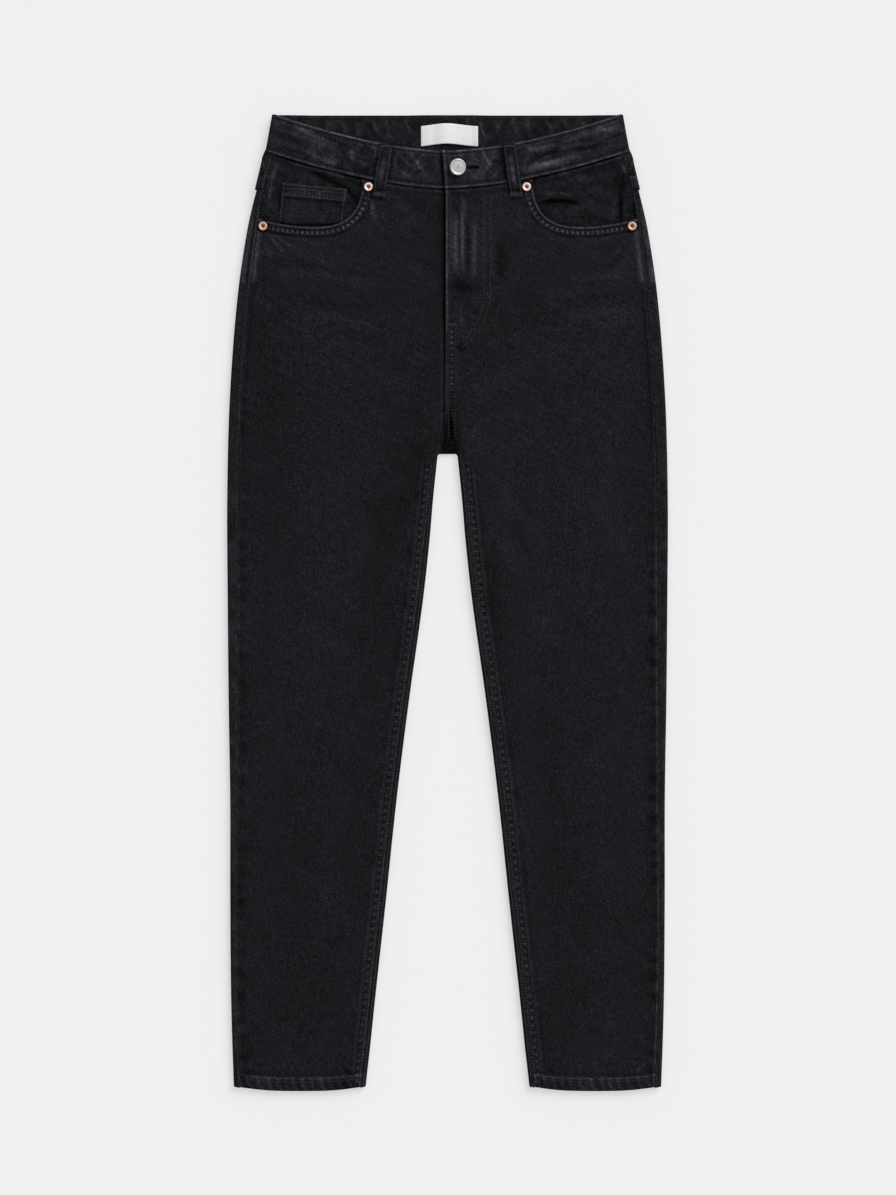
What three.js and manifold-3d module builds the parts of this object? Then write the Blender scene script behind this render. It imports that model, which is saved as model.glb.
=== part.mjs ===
// Black five-pocket mom jeans, laid flat on their back with the fly closed.
// Millimetres. X runs across to the viewer's right, Y from the hems to the waist, Z up from the surface.
// The origin is under the middle of the whole garment, on that surface.
import * as THREE from "three";
import Module from "manifold-3d";

const wasm = await Module();
wasm.setup();

// Driving sizes
const WAIST_Y = 507.5; // top of the back waistband
const HEM_Y = -507.5; // lowest point of the hems
const BAND_Y = 468; // foot of the waistband at the sides and all across the back
const FRONT_DIP = 37.8; // how far the front waist dips at the middle
const DIP_POWER = 1.57; // shape of that dip
const CROTCH_Y = 155; // lower edge of the cloth between the legs
const CROSS_Y = 168.5; // seam where the four leg panels meet
const DENIM = 1.2; // one layer of cloth
const BAND = 2.4; // the waistband, two layers
const HEM = 2.2; // the turned-up hem
const HEM_DEPTH = 13;
const FOLD_R = 3.15; // outside radius where a leg folds over at its edge
const BAND_R = 3.6; // the same on the waistband
const CROTCH_R = 1.7; // the same on the cloth between the legs
const GAP = 0.3; // left between any two pieces

// The outer edge seen from above: distance from the middle, and from there in to the side seam
const SIDE = [
  { y: 507.5, edge: 182.5, seam: 9 },
  { y: 468, edge: 189.8, seam: 9 },
  { y: 430, edge: 198.6, seam: 7.6 },
  { y: 388, edge: 208.4, seam: 10.3 },
  { y: 315, edge: 218.9, seam: 12 },
  { y: 211, edge: 226.7, seam: 12 },
  { y: 107, edge: 229.3, seam: 11.6 },
  { y: 3, edge: 228.8, seam: 10.6 },
  { y: -101, edge: 227.8, seam: 9 },
  { y: -205, edge: 226.2, seam: 7 },
  { y: -309, edge: 226.1, seam: 6 },
  { y: -413, edge: 225.2, seam: 6.2 },
  { y: -507.5, edge: 222.4, seam: 7 },
];

// The inner edge of a leg: distance from the middle, and from there in to the inseam
const INNER = [
  { y: 152, edge: 10.5, seam: 4.4 },
  { y: 107, edge: 15.1, seam: 4.6 },
  { y: 65, edge: 18.7, seam: 5.4 },
  { y: 3, edge: 25.5, seam: 5.6 },
  { y: -101, edge: 40, seam: 5.6 },
  { y: -205, edge: 53, seam: 5.6 },
  { y: -309, edge: 64, seam: 5.6 },
  { y: -413, edge: 75.4, seam: 5.6 },
  { y: -507.5, edge: 85.1, seam: 5.6 },
];

// Largest soft folds of the front, each a trough along a line: its middle, direction, half length,
// half width and depth. Each lies on both halves, mirrored.
const FOLDS = [
  { x: 62, y: 236, turn: -28, long: 70, wide: 20, deep: 0.9 },
  { x: 150, y: 300, turn: 14, long: 60, wide: 22, deep: 0.7 },
  { x: 120, y: 150, turn: 20, long: 80, wide: 30, deep: 0.8 },
  { x: 140, y: -60, turn: -12, long: 70, wide: 34, deep: 0.8 },
  { x: 150, y: -330, turn: 10, long: 60, wide: 30, deep: 0.7 },
];

const lerp = THREE.MathUtils.lerp;
const rad = THREE.MathUtils.degToRad;
const smooth = (low, high, value) => THREE.MathUtils.smoothstep(value, low, high);
const steps = (count) => Array.from({ length: count + 1 }, (_, i) => i / count);

// A smooth curve through one column of a table whose y falls from row to row
function profile(rows, column) {
  const slope = (i) => {
    const a = rows[Math.max(i - 1, 0)];
    const b = rows[Math.min(i + 1, rows.length - 1)];
    return (b[column] - a[column]) / (b.y - a.y);
  };
  return (y) => {
    const at = THREE.MathUtils.clamp(y, rows.at(-1).y, rows[0].y);
    const i = Math.min(Math.max(rows.findIndex((row) => row.y <= at) - 1, 0), rows.length - 2);
    const span = rows[i + 1].y - rows[i].y;
    const t = (at - rows[i].y) / span;
    const ease = t * t * (3 - 2 * t);
    const leave = t * (1 - t) * (1 - t) * span * slope(i);
    const arrive = t * t * (t - 1) * span * slope(i + 1);
    return lerp(rows[i][column], rows[i + 1][column], ease) + leave + arrive;
  };
}

const sideEdge = profile(SIDE, "edge");
const sideSeam = profile(SIDE, "seam");
const innerEdge = profile(INNER, "edge");
const innerSeam = profile(INNER, "seam");

// Front waist seam and top edge: share runs from the middle, 0, to the fold at the side, 1
const dipAt = (share) => FRONT_DIP * (1 - Math.min(share, 1) ** DIP_POWER);
const BAND_FOOT_X = sideEdge(BAND_Y) - BAND_R;
const waistSeam = (x) => BAND_Y - dipAt(Math.abs(x) / BAND_FOOT_X);

// Height of the underside. It lies on the surface, and is held up by the loops and the back pockets.
const LOOP = { width: 12.5, thick: 1.6, gap: 0.4, foot: 430 };
const LOOP_LIFT = { full: 20, none: 46, from: LOOP.foot - 32, by: LOOP.foot - 8 };
const SEAT = { x: 178, low: 238, high: 386, lift: 1.6, ramp: 36 };
function floorLift(x, y) {
  const across = Math.abs(x);
  const byLoops = (LOOP.thick + LOOP.gap) * smooth(LOOP_LIFT.from, LOOP_LIFT.by, y);
  const middle = byLoops * (1 - smooth(LOOP_LIFT.full, LOOP_LIFT.none, across));
  const side = byLoops * (1 - smooth(LOOP_LIFT.full, LOOP_LIFT.none, sideEdge(y) - across));
  const overFoot = smooth(SEAT.low - SEAT.ramp, SEAT.low, y);
  const underTop = 1 - smooth(SEAT.high, SEAT.high + SEAT.ramp, y);
  const seat = SEAT.lift * overFoot * underTop * (1 - smooth(SEAT.x, SEAT.x + SEAT.ramp, across));
  return Math.max(middle, side, seat);
}

// How far the soft folds and the slack between a leg's edges lower the front. Both end below the
// fly, and the folds also towards the leg's edges.
const SLACK = { deep: 1.5, full: 180, none: 330, hemRamp: 60 };
const FOLD_AREA = { side: [10, 40], inner: [4, 24], full: 290, none: 340 };
function slack(x, y) {
  const across = Math.abs(x);
  const inner = y < CROTCH_Y ? innerEdge(y) : 0;
  const share = THREE.MathUtils.clamp((across - inner) / (sideEdge(y) - inner), 0, 1);
  const middle = (4 * share * (1 - share)) ** 1.5;
  const byHeight = (1 - smooth(SLACK.full, SLACK.none, y)) * smooth(HEM_Y, HEM_Y + SLACK.hemRamp, y);
  const inFromSide = smooth(...FOLD_AREA.side, sideEdge(y) - across);
  const inFromInner = smooth(...FOLD_AREA.inner, across - inner);
  const folds = FOLDS.reduce((sum, fold) => {
    const dx = across - fold.x;
    const dy = y - fold.y;
    const c = Math.cos(rad(fold.turn));
    const s = Math.sin(rad(fold.turn));
    const along = (dx * c + dy * s) / fold.long;
    const off = (dy * c - dx * s) / fold.wide;
    return sum + fold.deep * Math.exp(-along * along - off * off);
  }, 0);
  const below = 1 - smooth(FOLD_AREA.full, FOLD_AREA.none, y);
  return SLACK.deep * middle * byHeight + folds * inFromSide * inFromInner * below;
}

// The valley between the tops of the legs, over the crotch
const VALLEY = { foot: 147, floor: 153, high: 228, half: 7.5, wide: 15 };
function valley(x, y) {
  const along = (1 - smooth(CROSS_Y, VALLEY.high, y)) * smooth(VALLEY.foot, VALLEY.floor, y);
  return 2 * (FOLD_R - CROTCH_R) * along * (1 - smooth(VALLEY.half, VALLEY.wide, Math.abs(x)));
}

const flatSkin = (x, y) => floorLift(x, y) + 2 * FOLD_R;
const plainSkin = (x, y) => flatSkin(x, y) - slack(x, y) - valley(x, y);

// The fly: the wearer's left front laps over the right one, over the zip and its shield
const FLY = { edge: -2.1, under: 3, stop: 276, open: 300, lift: 2.1, wide: 34, fade: 26, ramp: 40 };
const flyLift = (x, y) =>
  FLY.lift * (1 - smooth(FLY.wide, FLY.wide + FLY.fade, x)) * smooth(FLY.stop - FLY.ramp, FLY.stop, y);
const frontSkin = (side, x, y) => plainSkin(x, y) + (side > 0 ? flyLift(x, y) : 0);

// Waistband skin: the wearer's left end laps over the right one at the button
const LAP = { top: -5.2, foot: -2.3, under: 30, lift: BAND + GAP, wide: 34, fade: 26 };
const lapLift = (x) => LAP.lift * (1 - smooth(LAP.wide, LAP.wide + LAP.fade, x));
const bandSkin = (side, x, y) => floorLift(x, y) + 2 * BAND_R + (side > 0 ? lapLift(x) : 0);

// A closed wall between two grids of points, which share their rows and columns
function wall(outer, inner, kept = () => true) {
  const columns = outer[0].length;
  const half = outer.length * columns;
  const at = (i, j) => i * columns + j;
  const faces = [];
  const quad = (a, b, c, d) => faces.push(a, b, c, a, c, d);
  const rim = new Map();
  const note = (a, b) => {
    if (!rim.delete(b + "_" + a)) rim.set(a + "_" + b, [a, b]);
  };
  for (let i = 0; i + 1 < outer.length; i += 1) {
    for (let j = 0; j + 1 < columns; j += 1) {
      if (!kept(i, j)) continue;
      const ring = [at(i, j), at(i + 1, j), at(i + 1, j + 1), at(i, j + 1)];
      quad(...ring);
      quad(...ring.map((v) => v + half).reverse());
      ring.forEach((v, k) => note(v, ring[(k + 1) % ring.length]));
    }
  }
  rim.forEach(([a, b]) => quad(b, a, a + half, b + half));
  const points = [...outer.flat(), ...inner.flat()];
  const volume = faces.reduce((sum, v, k) => {
    if (k % 3) return sum;
    const [a, b, c] = [points[v], points[faces[k + 1]], points[faces[k + 2]]];
    return sum + a.dot(new THREE.Vector3().crossVectors(b, c));
  }, 0);
  if (volume < 0) faces.reverse();
  const geometry = new THREE.BufferGeometry().setFromPoints(points);
  geometry.setIndex(faces);
  return geometry.toNonIndexed();
}

// A wall over a grid of plan points [x, y]: its upper face from a height function, its lower face below that
function layer(plan, height, thick) {
  const depth = typeof thick === "function" ? thick : () => thick;
  const place = (drop) =>
    plan.map((row) => row.map(([x, y]) => new THREE.Vector3(x, y, height(x, y) - drop(x, y))));
  return wall(place(() => 0), place(depth));
}

const evenGrid = (rows, columns, point) => steps(rows).map((v) => steps(columns).map((u) => point(u, v)));

// The side seam's front edge, seen from above
const sideX = (y) => sideEdge(y) - sideSeam(y) - GAP / 2;

// The front pocket opening, from the waist seam round to the side seam, on the right of the middle
const SCOOP = { topX: 88.2, lowX: 138, lowY: 390.6, sideY: 399 };
const scoopBend = new THREE.CubicBezierCurve(
  new THREE.Vector2(SCOOP.topX, waistSeam(SCOOP.topX)),
  new THREE.Vector2(88.5, 405),
  new THREE.Vector2(105, SCOOP.lowY),
  new THREE.Vector2(SCOOP.lowX, SCOOP.lowY),
);
const scoopFoot = new THREE.QuadraticBezierCurve(
  new THREE.Vector2(SCOOP.lowX, SCOOP.lowY),
  new THREE.Vector2(165, SCOOP.lowY),
  new THREE.Vector2(sideX(SCOOP.sideY), SCOOP.sideY),
);
const scoop = new THREE.CurvePath();
scoop.add(scoopBend);
scoop.add(scoopFoot);
const scoopPoints = scoop.getSpacedPoints(40);
const SCOOP_SHARE = 7 / 12; // part of a front's top edge that is the pocket mouth
const fromScoop = (x, y) => Math.min(...scoopPoints.map((p) => Math.hypot(p.x - Math.abs(x), p.y - y)));
const scoopY = (x) => {
  const i = scoopPoints.findIndex((p) => p.x >= x);
  return i < 0 ? SCOOP.sideY : scoopPoints[i].y;
};

// How a hem corner rounds up: share runs across the leg
const HEM_CORNER = { rise: 4.6, fade: 50 };
const hemRise = (share, y) =>
  HEM_CORNER.rise * Math.abs(2 * share - 1) ** 3 * (1 - smooth(HEM_Y, HEM_Y + HEM_CORNER.fade, y));
const HEM_RAISE = 0.4; // how far the hem stands above the leg
const inHem = (y) => y < HEM_Y + HEM_DEPTH + 0.5;

// Stations round the crotch: height at the outer edge, and how far the inner edge has turned from
// level, along the cloth between the legs, to upright, along a leg
const TURN_R = 3;
const CROTCH_STATIONS = [
  { outer: 168.5, x: GAP / 2, turn: 0, r: CROTCH_R, seam: CROSS_Y - CROTCH_Y },
  { outer: 164, x: 4, turn: 0, r: CROTCH_R, seam: CROSS_Y - CROTCH_Y },
  { outer: 159, x: 7.5, turn: 0, r: CROTCH_R, seam: CROSS_Y - CROTCH_Y },
  { outer: 153, x: 7.5, turn: 45, r: 2.4, seam: 8 },
  { outer: 146, x: 7.5, turn: 90, r: FOLD_R, seam: 4.6 },
];
const LEG_Y = [128, 107, 80, 45, 3, -42, -87, -132, -177, -222, -267, -312, -357, -402, -442, -472];
const HEM_ROWS = [HEM_Y + HEM_DEPTH + 1, HEM_Y + HEM_DEPTH, HEM_Y + 6, HEM_Y];

// Every station below the crotch: outer height, inner edge point, its inward direction and fold
const legStations = [
  ...CROTCH_STATIONS.map(({ outer, x, turn, r, seam }) => {
    const inward = new THREE.Vector2(Math.sin(rad(turn)), Math.cos(rad(turn)));
    const base = new THREE.Vector2(x, CROTCH_Y - (turn ? TURN_R : 0));
    const edge = turn ? base.addScaledVector(inward, TURN_R) : base;
    return { outer, edge, inward, r, seam };
  }),
  ...[...LEG_Y, ...HEM_ROWS].map((y) => ({
    outer: y,
    edge: new THREE.Vector2(innerEdge(y), y),
    inward: new THREE.Vector2(1, 0),
    r: FOLD_R,
    seam: innerSeam(y),
  })),
];
const ARC = [-90, -45, 0, 45, 90];

// Where a front ends at the middle: the right one runs on under the fly
function frontMiddle(side, y) {
  if (side > 0) return FLY.edge + GAP / 2;
  return lerp(-FLY.edge + GAP / 2, -FLY.under, smooth(FLY.stop + 4, FLY.open, y));
}

// The double cloth at the pocket mouth: how far from it the cloth is double, and then single
const MOUTH_HEM = [10, 20];

// One front leg panel. side is -1 for the wearer's right, which is on the viewer's left.
function frontPanel(side) {
  const across = 12;
  const midY = 318; // the first level row, below the fly's widest part
  const topCorner = scoop.getPointAt(1);
  const top = (u) => {
    if (u < SCOOP_SHARE) return scoop.getPointAt(1 - u / SCOOP_SHARE);
    const start = scoop.getPointAt(0).x;
    const x = lerp(start, frontMiddle(side, FLY.open), (u - SCOOP_SHARE) / (1 - SCOOP_SHARE));
    return new THREE.Vector2(x, waistSeam(x) - GAP / 2);
  };
  const low = (u) => new THREE.Vector2(lerp(sideX(midY), frontMiddle(side, midY), u), midY);
  const upper = [0, 0.07, 0.2, 0.4, 0.7].map((v) =>
    steps(across).map((u) => {
      const p = top(u).lerp(low(u), v);
      const straight = lerp(topCorner.x, sideX(midY), v);
      p.x += (sideX(lerp(topCorner.y, midY, v)) - straight) * (1 - u) ** 2;
      return [p.x * side, p.y];
    }),
  );
  const middle = [midY, 300, 280, 262, 236, 212, 190].map((y) =>
    steps(across).map((u) => [side * lerp(sideX(y), frontMiddle(side, y), u), y]),
  );
  const legs = legStations.map(({ outer, edge, inward, seam }, k) => {
    const end = edge.clone().addScaledVector(inward, seam + GAP / 2);
    if (k === 0) end.x = frontMiddle(side, outer);
    return steps(across).map((u) => {
      const x = lerp(sideX(outer), end.x, u);
      const y = lerp(outer, end.y, u);
      return [side * x, y + hemRise(u, y)];
    });
  });
  const height = (x, y) => frontSkin(side, x, y) + (inHem(y) ? HEM_RAISE : 0);
  const mouthHem = (x, y) => (HEM - DENIM) * (1 - smooth(...MOUTH_HEM, fromScoop(x, y)));
  const thick = (x, y) => (inHem(y) ? HEM : DENIM + mouthHem(x, y));
  return layer([...upper, ...middle, ...legs], height, thick);
}

// Points of the outer fold at height y, from the seam on top, round the edge, to the underside
function sideFold(y, r, thick, seamIn, seamY = y) {
  const centre = sideEdge(y) - r;
  const middle = floorLift(sideEdge(y), y) + r;
  const seamX = sideEdge(seamY) - seamIn;
  const seamZ = floorLift(seamX, seamY) + 2 * r;
  const round = (radius, a) => [centre + radius * Math.cos(rad(a)), y, middle + radius * Math.sin(rad(a))];
  const ring = (radius) => [...ARC].reverse().map((a) => round(radius, a));
  return {
    outer: [[seamX, seamY, seamZ], ...ring(r)],
    inner: [[seamX, seamY, seamZ - thick], ...ring(r - thick)],
  };
}

const vectors = (side, grid) => grid.map((row) => row.map(([x, y, z]) => new THREE.Vector3(side * x, y, z)));

// The back of the garment below the waistband is a yoke and a leg panel, joined at a sloping seam
const YOKE = { side: 430, middle: 402 };
const yokeSeam = (x) => lerp(YOKE.middle, YOKE.side, Math.min(Math.abs(x) / sideEdge(YOKE.side), 1) ** 1.2);

// One row of a back panel: the side fold, then the underside in to an end point
function backRow(foldY, bottom, end, thick, seamY = foldY) {
  const fold = sideFold(foldY, FOLD_R, thick, sideSeam(seamY) - GAP / 2, seamY);
  const from = fold.outer.at(-1);
  const flat = steps(bottom)
    .slice(1)
    .map((t) => {
      const x = lerp(from[0], end.x, t);
      return [x, end.level(x, t), 0];
    });
  const outer = flat.map(([x, y]) => [x, y, floorLift(x, y)]);
  return {
    outer: [...fold.outer, ...outer],
    inner: [...fold.inner, ...outer.map(([x, y, z]) => [x, y, z + thick])],
  };
}

function backYoke(side) {
  const rows = [0, 0.3, 0.6, 1].map((v) => {
    const y = lerp(BAND_Y - GAP, YOKE.side + GAP / 2, v);
    const level = (x) => lerp(BAND_Y - GAP, yokeSeam(x) + GAP / 2, v);
    const seamTop = waistSeam(sideEdge(BAND_Y) - sideSeam(BAND_Y)) - GAP;
    const seamY = lerp(seamTop, YOKE.side + GAP / 2, v);
    return backRow(y, 10, { x: GAP / 2, level }, DENIM, seamY);
  });
  return wall(vectors(side, rows.map((row) => row.outer)), vectors(side, rows.map((row) => row.inner)));
}

// One back leg panel, whose inner edge curls up on to the front below the crotch
function backPanel(side) {
  const bottom = 9;
  const evenY = 372;
  const curl = ARC.length;
  const upper = [0, 0.35, 0.7].map((v) => {
    const y = lerp(YOKE.side - GAP / 2, evenY, v);
    return backRow(y, bottom, { x: GAP / 2, level: (x) => lerp(yokeSeam(x) - GAP / 2, evenY, v) }, DENIM);
  });
  const seat = [evenY, 340, 300, 262, 226, 202, 186].map((y) =>
    backRow(y, bottom, { x: GAP / 2, level: () => y }, DENIM),
  );
  const legs = legStations.map(({ outer: foldY, edge, inward, r, seam }) => {
    const thick = inHem(foldY) ? HEM : DENIM;
    const foot = edge.clone().addScaledVector(inward, r);
    const end = edge.clone().addScaledVector(inward, seam - GAP / 2);
    const row = backRow(foldY, bottom, { x: foot.x, level: (x, t) => lerp(foldY, foot.y, t) }, thick);
    const round = (radius) =>
      ARC.slice(1).map((a) => [
        foot.x - inward.x * radius * Math.cos(rad(a)),
        foot.y - inward.y * radius * Math.cos(rad(a)),
        r + radius * Math.sin(rad(a)),
      ]);
    const top = plainSkin(end.x, end.y) + (inHem(foldY) ? HEM_RAISE : 0);
    const raise = ([x, y, z]) => {
      const share = (x - innerEdge(y)) / (sideEdge(y) - innerEdge(y));
      return [x, y + (y < CROTCH_Y ? hemRise(THREE.MathUtils.clamp(share, 0, 1), y) : 0), z];
    };
    return {
      outer: [...row.outer, ...round(r), [end.x, end.y, top]].map(raise),
      inner: [...row.inner, ...round(r - thick), [end.x, end.y, top - thick]].map(raise),
    };
  });
  const pad = (row) => [...row, ...Array(curl).fill(row.at(-1))];
  const above = [...upper, ...seat];
  const outer = [...above.map((row) => pad(row.outer)), ...legs.map((row) => row.outer)];
  const inner = [...above.map((row) => pad(row.inner)), ...legs.map((row) => row.inner)];
  const flatColumns = outer[0].length - 1 - curl;
  const kept = (i, j) => i >= above.length || j < flatColumns;
  return wall(vectors(side, outer), vectors(side, inner), kept);
}

// Front half of the waistband, from its end at the fly, round the fold, to the back waistband
const BAND_TURN = 14; // how far it runs in under the back
function frontBand(side) {
  const endTop = side > 0 ? LAP.top : -LAP.under;
  const endFoot = side > 0 ? LAP.foot : -LAP.under;
  const across = 18;
  const rows = steps(3).map((v) => {
    const foldY = lerp(WAIST_Y, BAND_Y, v);
    const topEdge = sideEdge(foldY) - BAND_R;
    const level = (share) => lerp(WAIST_Y, BAND_Y + GAP / 2, v) - dipAt(Math.abs(share));
    const front = steps(across).map((u) => {
      const x = lerp(lerp(endTop, endFoot, v), topEdge, u);
      const z = bandSkin(side, side * x, foldY);
      return [x, level(x / topEdge), z];
    });
    const fold = sideFold(foldY, BAND_R, BAND, BAND_R);
    const under = [0.5, 1].map((t) => {
      const x = topEdge - BAND_TURN * t;
      return [x, foldY, floorLift(x, foldY)];
    });
    const shift = (points, by) => points.map(([x, y, z]) => [x, y, z + by]);
    return {
      outer: [...front, ...fold.outer.slice(2), ...under],
      inner: [...shift(front, -BAND), ...fold.inner.slice(2), ...shift(under, BAND)],
    };
  });
  return wall(vectors(side, rows.map((row) => row.outer)), vectors(side, rows.map((row) => row.inner)));
}

const backBandEnd = (y) => sideEdge(y) - BAND_R - BAND_TURN - GAP;
function backBand() {
  const plan = evenGrid(3, 28, (u, v) => {
    const y = lerp(WAIST_Y, BAND_Y, v);
    return [lerp(-backBandEnd(y), backBandEnd(y), u), y];
  });
  return layer(plan, (x, y) => floorLift(x, y) + BAND, BAND);
}

// The facing that shows inside a front pocket. It is level with the seams at the waist and side,
// and sinks under the pocket edge.
const FACING = { inner: 77, foot: 348, drop: HEM + 0.5 };
const FACING_RAMP = { waist: 9, side: 14, start: [98, 118], aboveMouth: [10, 28] };
function facingTop(side, x, y) {
  const across = Math.abs(x);
  const past = smooth(...FACING_RAMP.start, across);
  const overMouth = smooth(...FACING_RAMP.aboveMouth, y - scoopY(across));
  const byWaist = 1 - smooth(0, FACING_RAMP.waist, waistSeam(x) - y);
  const bySide = (1 - smooth(0, FACING_RAMP.side, sideX(y) - across)) * overMouth;
  return frontSkin(side, x, y) - FACING.drop * (1 - past * Math.max(byWaist, bySide));
}
function pocketFacing(side) {
  const plan = evenGrid(10, 10, (u, v) => {
    const top = lerp(waistSeam(sideX(BAND_Y)), waistSeam(FACING.inner), u ** 0.8) - GAP / 2;
    const y = lerp(top, FACING.foot, v);
    const x = lerp(sideX(y), FACING.inner, u);
    return [side * x, Math.min(y, waistSeam(x) - GAP / 2)];
  });
  return layer(plan, (x, y) => facingTop(side, x, y), DENIM);
}

// The coin pocket on the wearer's right facing, with its hemmed mouth
const COIN = { outer: 171.2, inner: 104.4, outerTop: 436.8, innerTop: 430.6, foot: 394, lean: 4.6 };
const COIN_CLOTH = { thick: 1.1, hem: 13.7, hemRaise: 0.4 };
function coinPocket() {
  const plan = [0, 0.35, 0.36, 0.7, 1].map((v) =>
    steps(8).map((u) => {
      const x = lerp(COIN.outer, COIN.inner, u) + COIN.lean * v;
      const foot = Math.max(COIN.foot, scoopY(x) + 6 * GAP);
      return [-x, lerp(lerp(COIN.outerTop, COIN.innerTop, u), foot, v)];
    }),
  );
  const mouth = (x, y) => {
    const top = lerp(COIN.outerTop, COIN.innerTop, (COIN.outer + x) / (COIN.outer - COIN.inner));
    return top - y < COIN_CLOTH.hem ? COIN_CLOTH.hemRaise : 0;
  };
  const thick = (x, y) => COIN_CLOTH.thick + mouth(x, y);
  return layer(plan, (x, y) => facingTop(-1, x, y) + 2 * GAP + thick(x, y), thick);
}

// A back pocket lies flat under the seat, with its point down. It narrows towards its foot, and its
// lower corners are rounded from the side edge over to the slope of the point.
const BACK_POCKET = { inner: 36, width: 138, top: 378, side: 112, point: 24, rise: 6, thick: 1.2 };
const POCKET_CORNER = { taper: 4, bend: 5, bendDown: 4, end: 11, endDown: 7 };
function backPocket(side) {
  const b = BACK_POCKET;
  const c = POCKET_CORNER;
  const shape = new THREE.Shape();
  const right = b.inner + b.width;
  const foot = b.top - b.side;
  const outerFoot = foot + b.rise / 3;
  shape.moveTo(b.inner, b.top - b.rise / 2);
  shape.lineTo(b.inner + c.taper, foot);
  shape.quadraticCurveTo(b.inner + c.bend, foot - c.bendDown, b.inner + c.end, foot - c.endDown);
  shape.lineTo(b.inner + b.width / 2, foot - b.point);
  shape.lineTo(right - c.end, outerFoot - c.endDown);
  shape.quadraticCurveTo(right - c.bend, outerFoot - c.bendDown, right - c.taper, outerFoot);
  shape.lineTo(right, b.top + b.rise / 2);
  shape.closePath();
  const options = { depth: b.thick, bevelEnabled: false, curveSegments: 3 };
  const geometry = new THREE.ExtrudeGeometry(shape, options);
  return side > 0 ? geometry : geometry.rotateY(Math.PI).translate(0, 0, b.thick);
}

// A belt loop on the front waistband. It runs over the seam and ends below it.
const FRONT_LOOP = { topX: 64, footX: 71.8, footY: 421.2, inset: 0.6, bow: 0.9, step: [2, 9] };
function frontLoop(side) {
  const topY = WAIST_Y - dipAt(FRONT_LOOP.topX / (sideEdge(WAIST_Y) - BAND_R)) - FRONT_LOOP.inset;
  const plan = evenGrid(12, 2, (u, v) => {
    const x = lerp(FRONT_LOOP.topX, FRONT_LOOP.footX, v) + (u - 0.5) * LOOP.width;
    const lean = (FRONT_LOOP.footX - FRONT_LOOP.topX) / (topY - FRONT_LOOP.footY);
    const tilt = (u - 0.5) * LOOP.width * lean;
    return [side * x, lerp(topY, FRONT_LOOP.footY, v) + tilt];
  });
  const base = (x, y) => {
    const past = smooth(...FRONT_LOOP.step, waistSeam(x) - y);
    const down = (topY - y) / (topY - FRONT_LOOP.footY);
    const bow = FRONT_LOOP.bow * Math.sin(Math.PI * down) ** 2;
    return lerp(bandSkin(side, x, BAND_Y), frontSkin(side, x, y), past) + bow;
  };
  return layer(plan, (x, y) => base(x, y) + LOOP.gap + LOOP.thick, LOOP.thick);
}

// The belt loop at the middle of the back lies flat under the waistband and yokes
const BACK_LOOP_FOOT = 446;
const backLoop = () =>
  layer(
    evenGrid(2, 1, (u, v) => [(u - 0.5) * LOOP.width, lerp(WAIST_Y - 1, BACK_LOOP_FOOT, v)]),
    () => LOOP.thick,
    LOOP.thick,
  );

// A belt loop at the side starts behind and comes round the fold on to the front. Distances run round
// the fold from its outermost line, and are greater to the front.
const SIDE_LOOP = { topAt: -11, footAt: 2.2, turnHigh: 484, turnLow: 440 };
const SIDE_LOOP_ROWS = [503, 488, 481, 474, BAND_Y, BAND_Y - GAP, 461, 454, 447, 439, LOOP.foot];
function sideLoop(side) {
  const around = (y, s, out) => {
    const r = y < BAND_Y ? FOLD_R : BAND_R;
    const centre = sideEdge(y) - r;
    const middle = floorLift(sideEdge(y), y) + r;
    const past = Math.max(Math.abs(s) - (Math.PI * r) / 2, 0);
    const a = THREE.MathUtils.clamp(s / r, -Math.PI / 2, Math.PI / 2);
    const x = centre - past + (r + out) * Math.cos(a);
    return new THREE.Vector3(side * x, y, middle + (r + out) * Math.sin(a));
  };
  const skin = (out) =>
    SIDE_LOOP_ROWS.map((y) => {
      const turned = smooth(SIDE_LOOP.turnLow, SIDE_LOOP.turnHigh, y);
      const middle = lerp(SIDE_LOOP.footAt, SIDE_LOOP.topAt, turned);
      return steps(10).map((u) => around(y, middle + (u - 0.5) * LOOP.width, out));
    });
  return wall(skin(LOOP.gap + LOOP.thick), skin(LOOP.gap));
}

// Under the fly: a shield against the back, and the zip between it and the lapping front
const SHIELD = { left: -8, right: 40, low: 282, rise: 2 * FOLD_R - 2 * DENIM - 3 * GAP };
const ZIP = { left: 5, right: 31, low: 286, rise: 2 * FOLD_R - DENIM, thick: 1.3 };
const STRIP_TOP = 2; // from the waist seam down to where both begin
const strip = ({ left, right, low, rise }, thick) =>
  layer(
    evenGrid(10, 2, (u, v) => {
      const x = lerp(left, right, u);
      return [x, lerp(waistSeam(x) - STRIP_TOP, low, v)];
    }),
    (x, y) => plainSkin(x, y) - 2 * FOLD_R + rise + thick,
    thick,
  );

// The blank satin label on the inside of the back waistband, arched a little
const LABEL = { left: -27.6, right: 31.7, low: 475, high: 496, arch: 2.6, puff: 1, thick: 0.8 };
function label() {
  const plan = evenGrid(2, 10, (u, v) => {
    const rise = LABEL.arch * Math.sin(Math.PI * u) ** 2;
    return [lerp(LABEL.left, LABEL.right, u), lerp(LABEL.high, LABEL.low, v) + rise];
  });
  const puff = (x) => LABEL.puff * Math.sin((Math.PI * (x - LABEL.left)) / (LABEL.right - LABEL.left)) ** 2;
  return layer(plan, (x, y) => floorLift(x, y) + BAND + GAP + LABEL.thick + puff(x), LABEL.thick);
}

// A turned metal piece from its profile of [radius, height]
const turned = (profilePoints, sides) => {
  const outline = profilePoints.map(([r, z]) => new THREE.Vector2(r, z));
  return new THREE.LatheGeometry(outline, sides).rotateX(Math.PI / 2);
};

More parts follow.
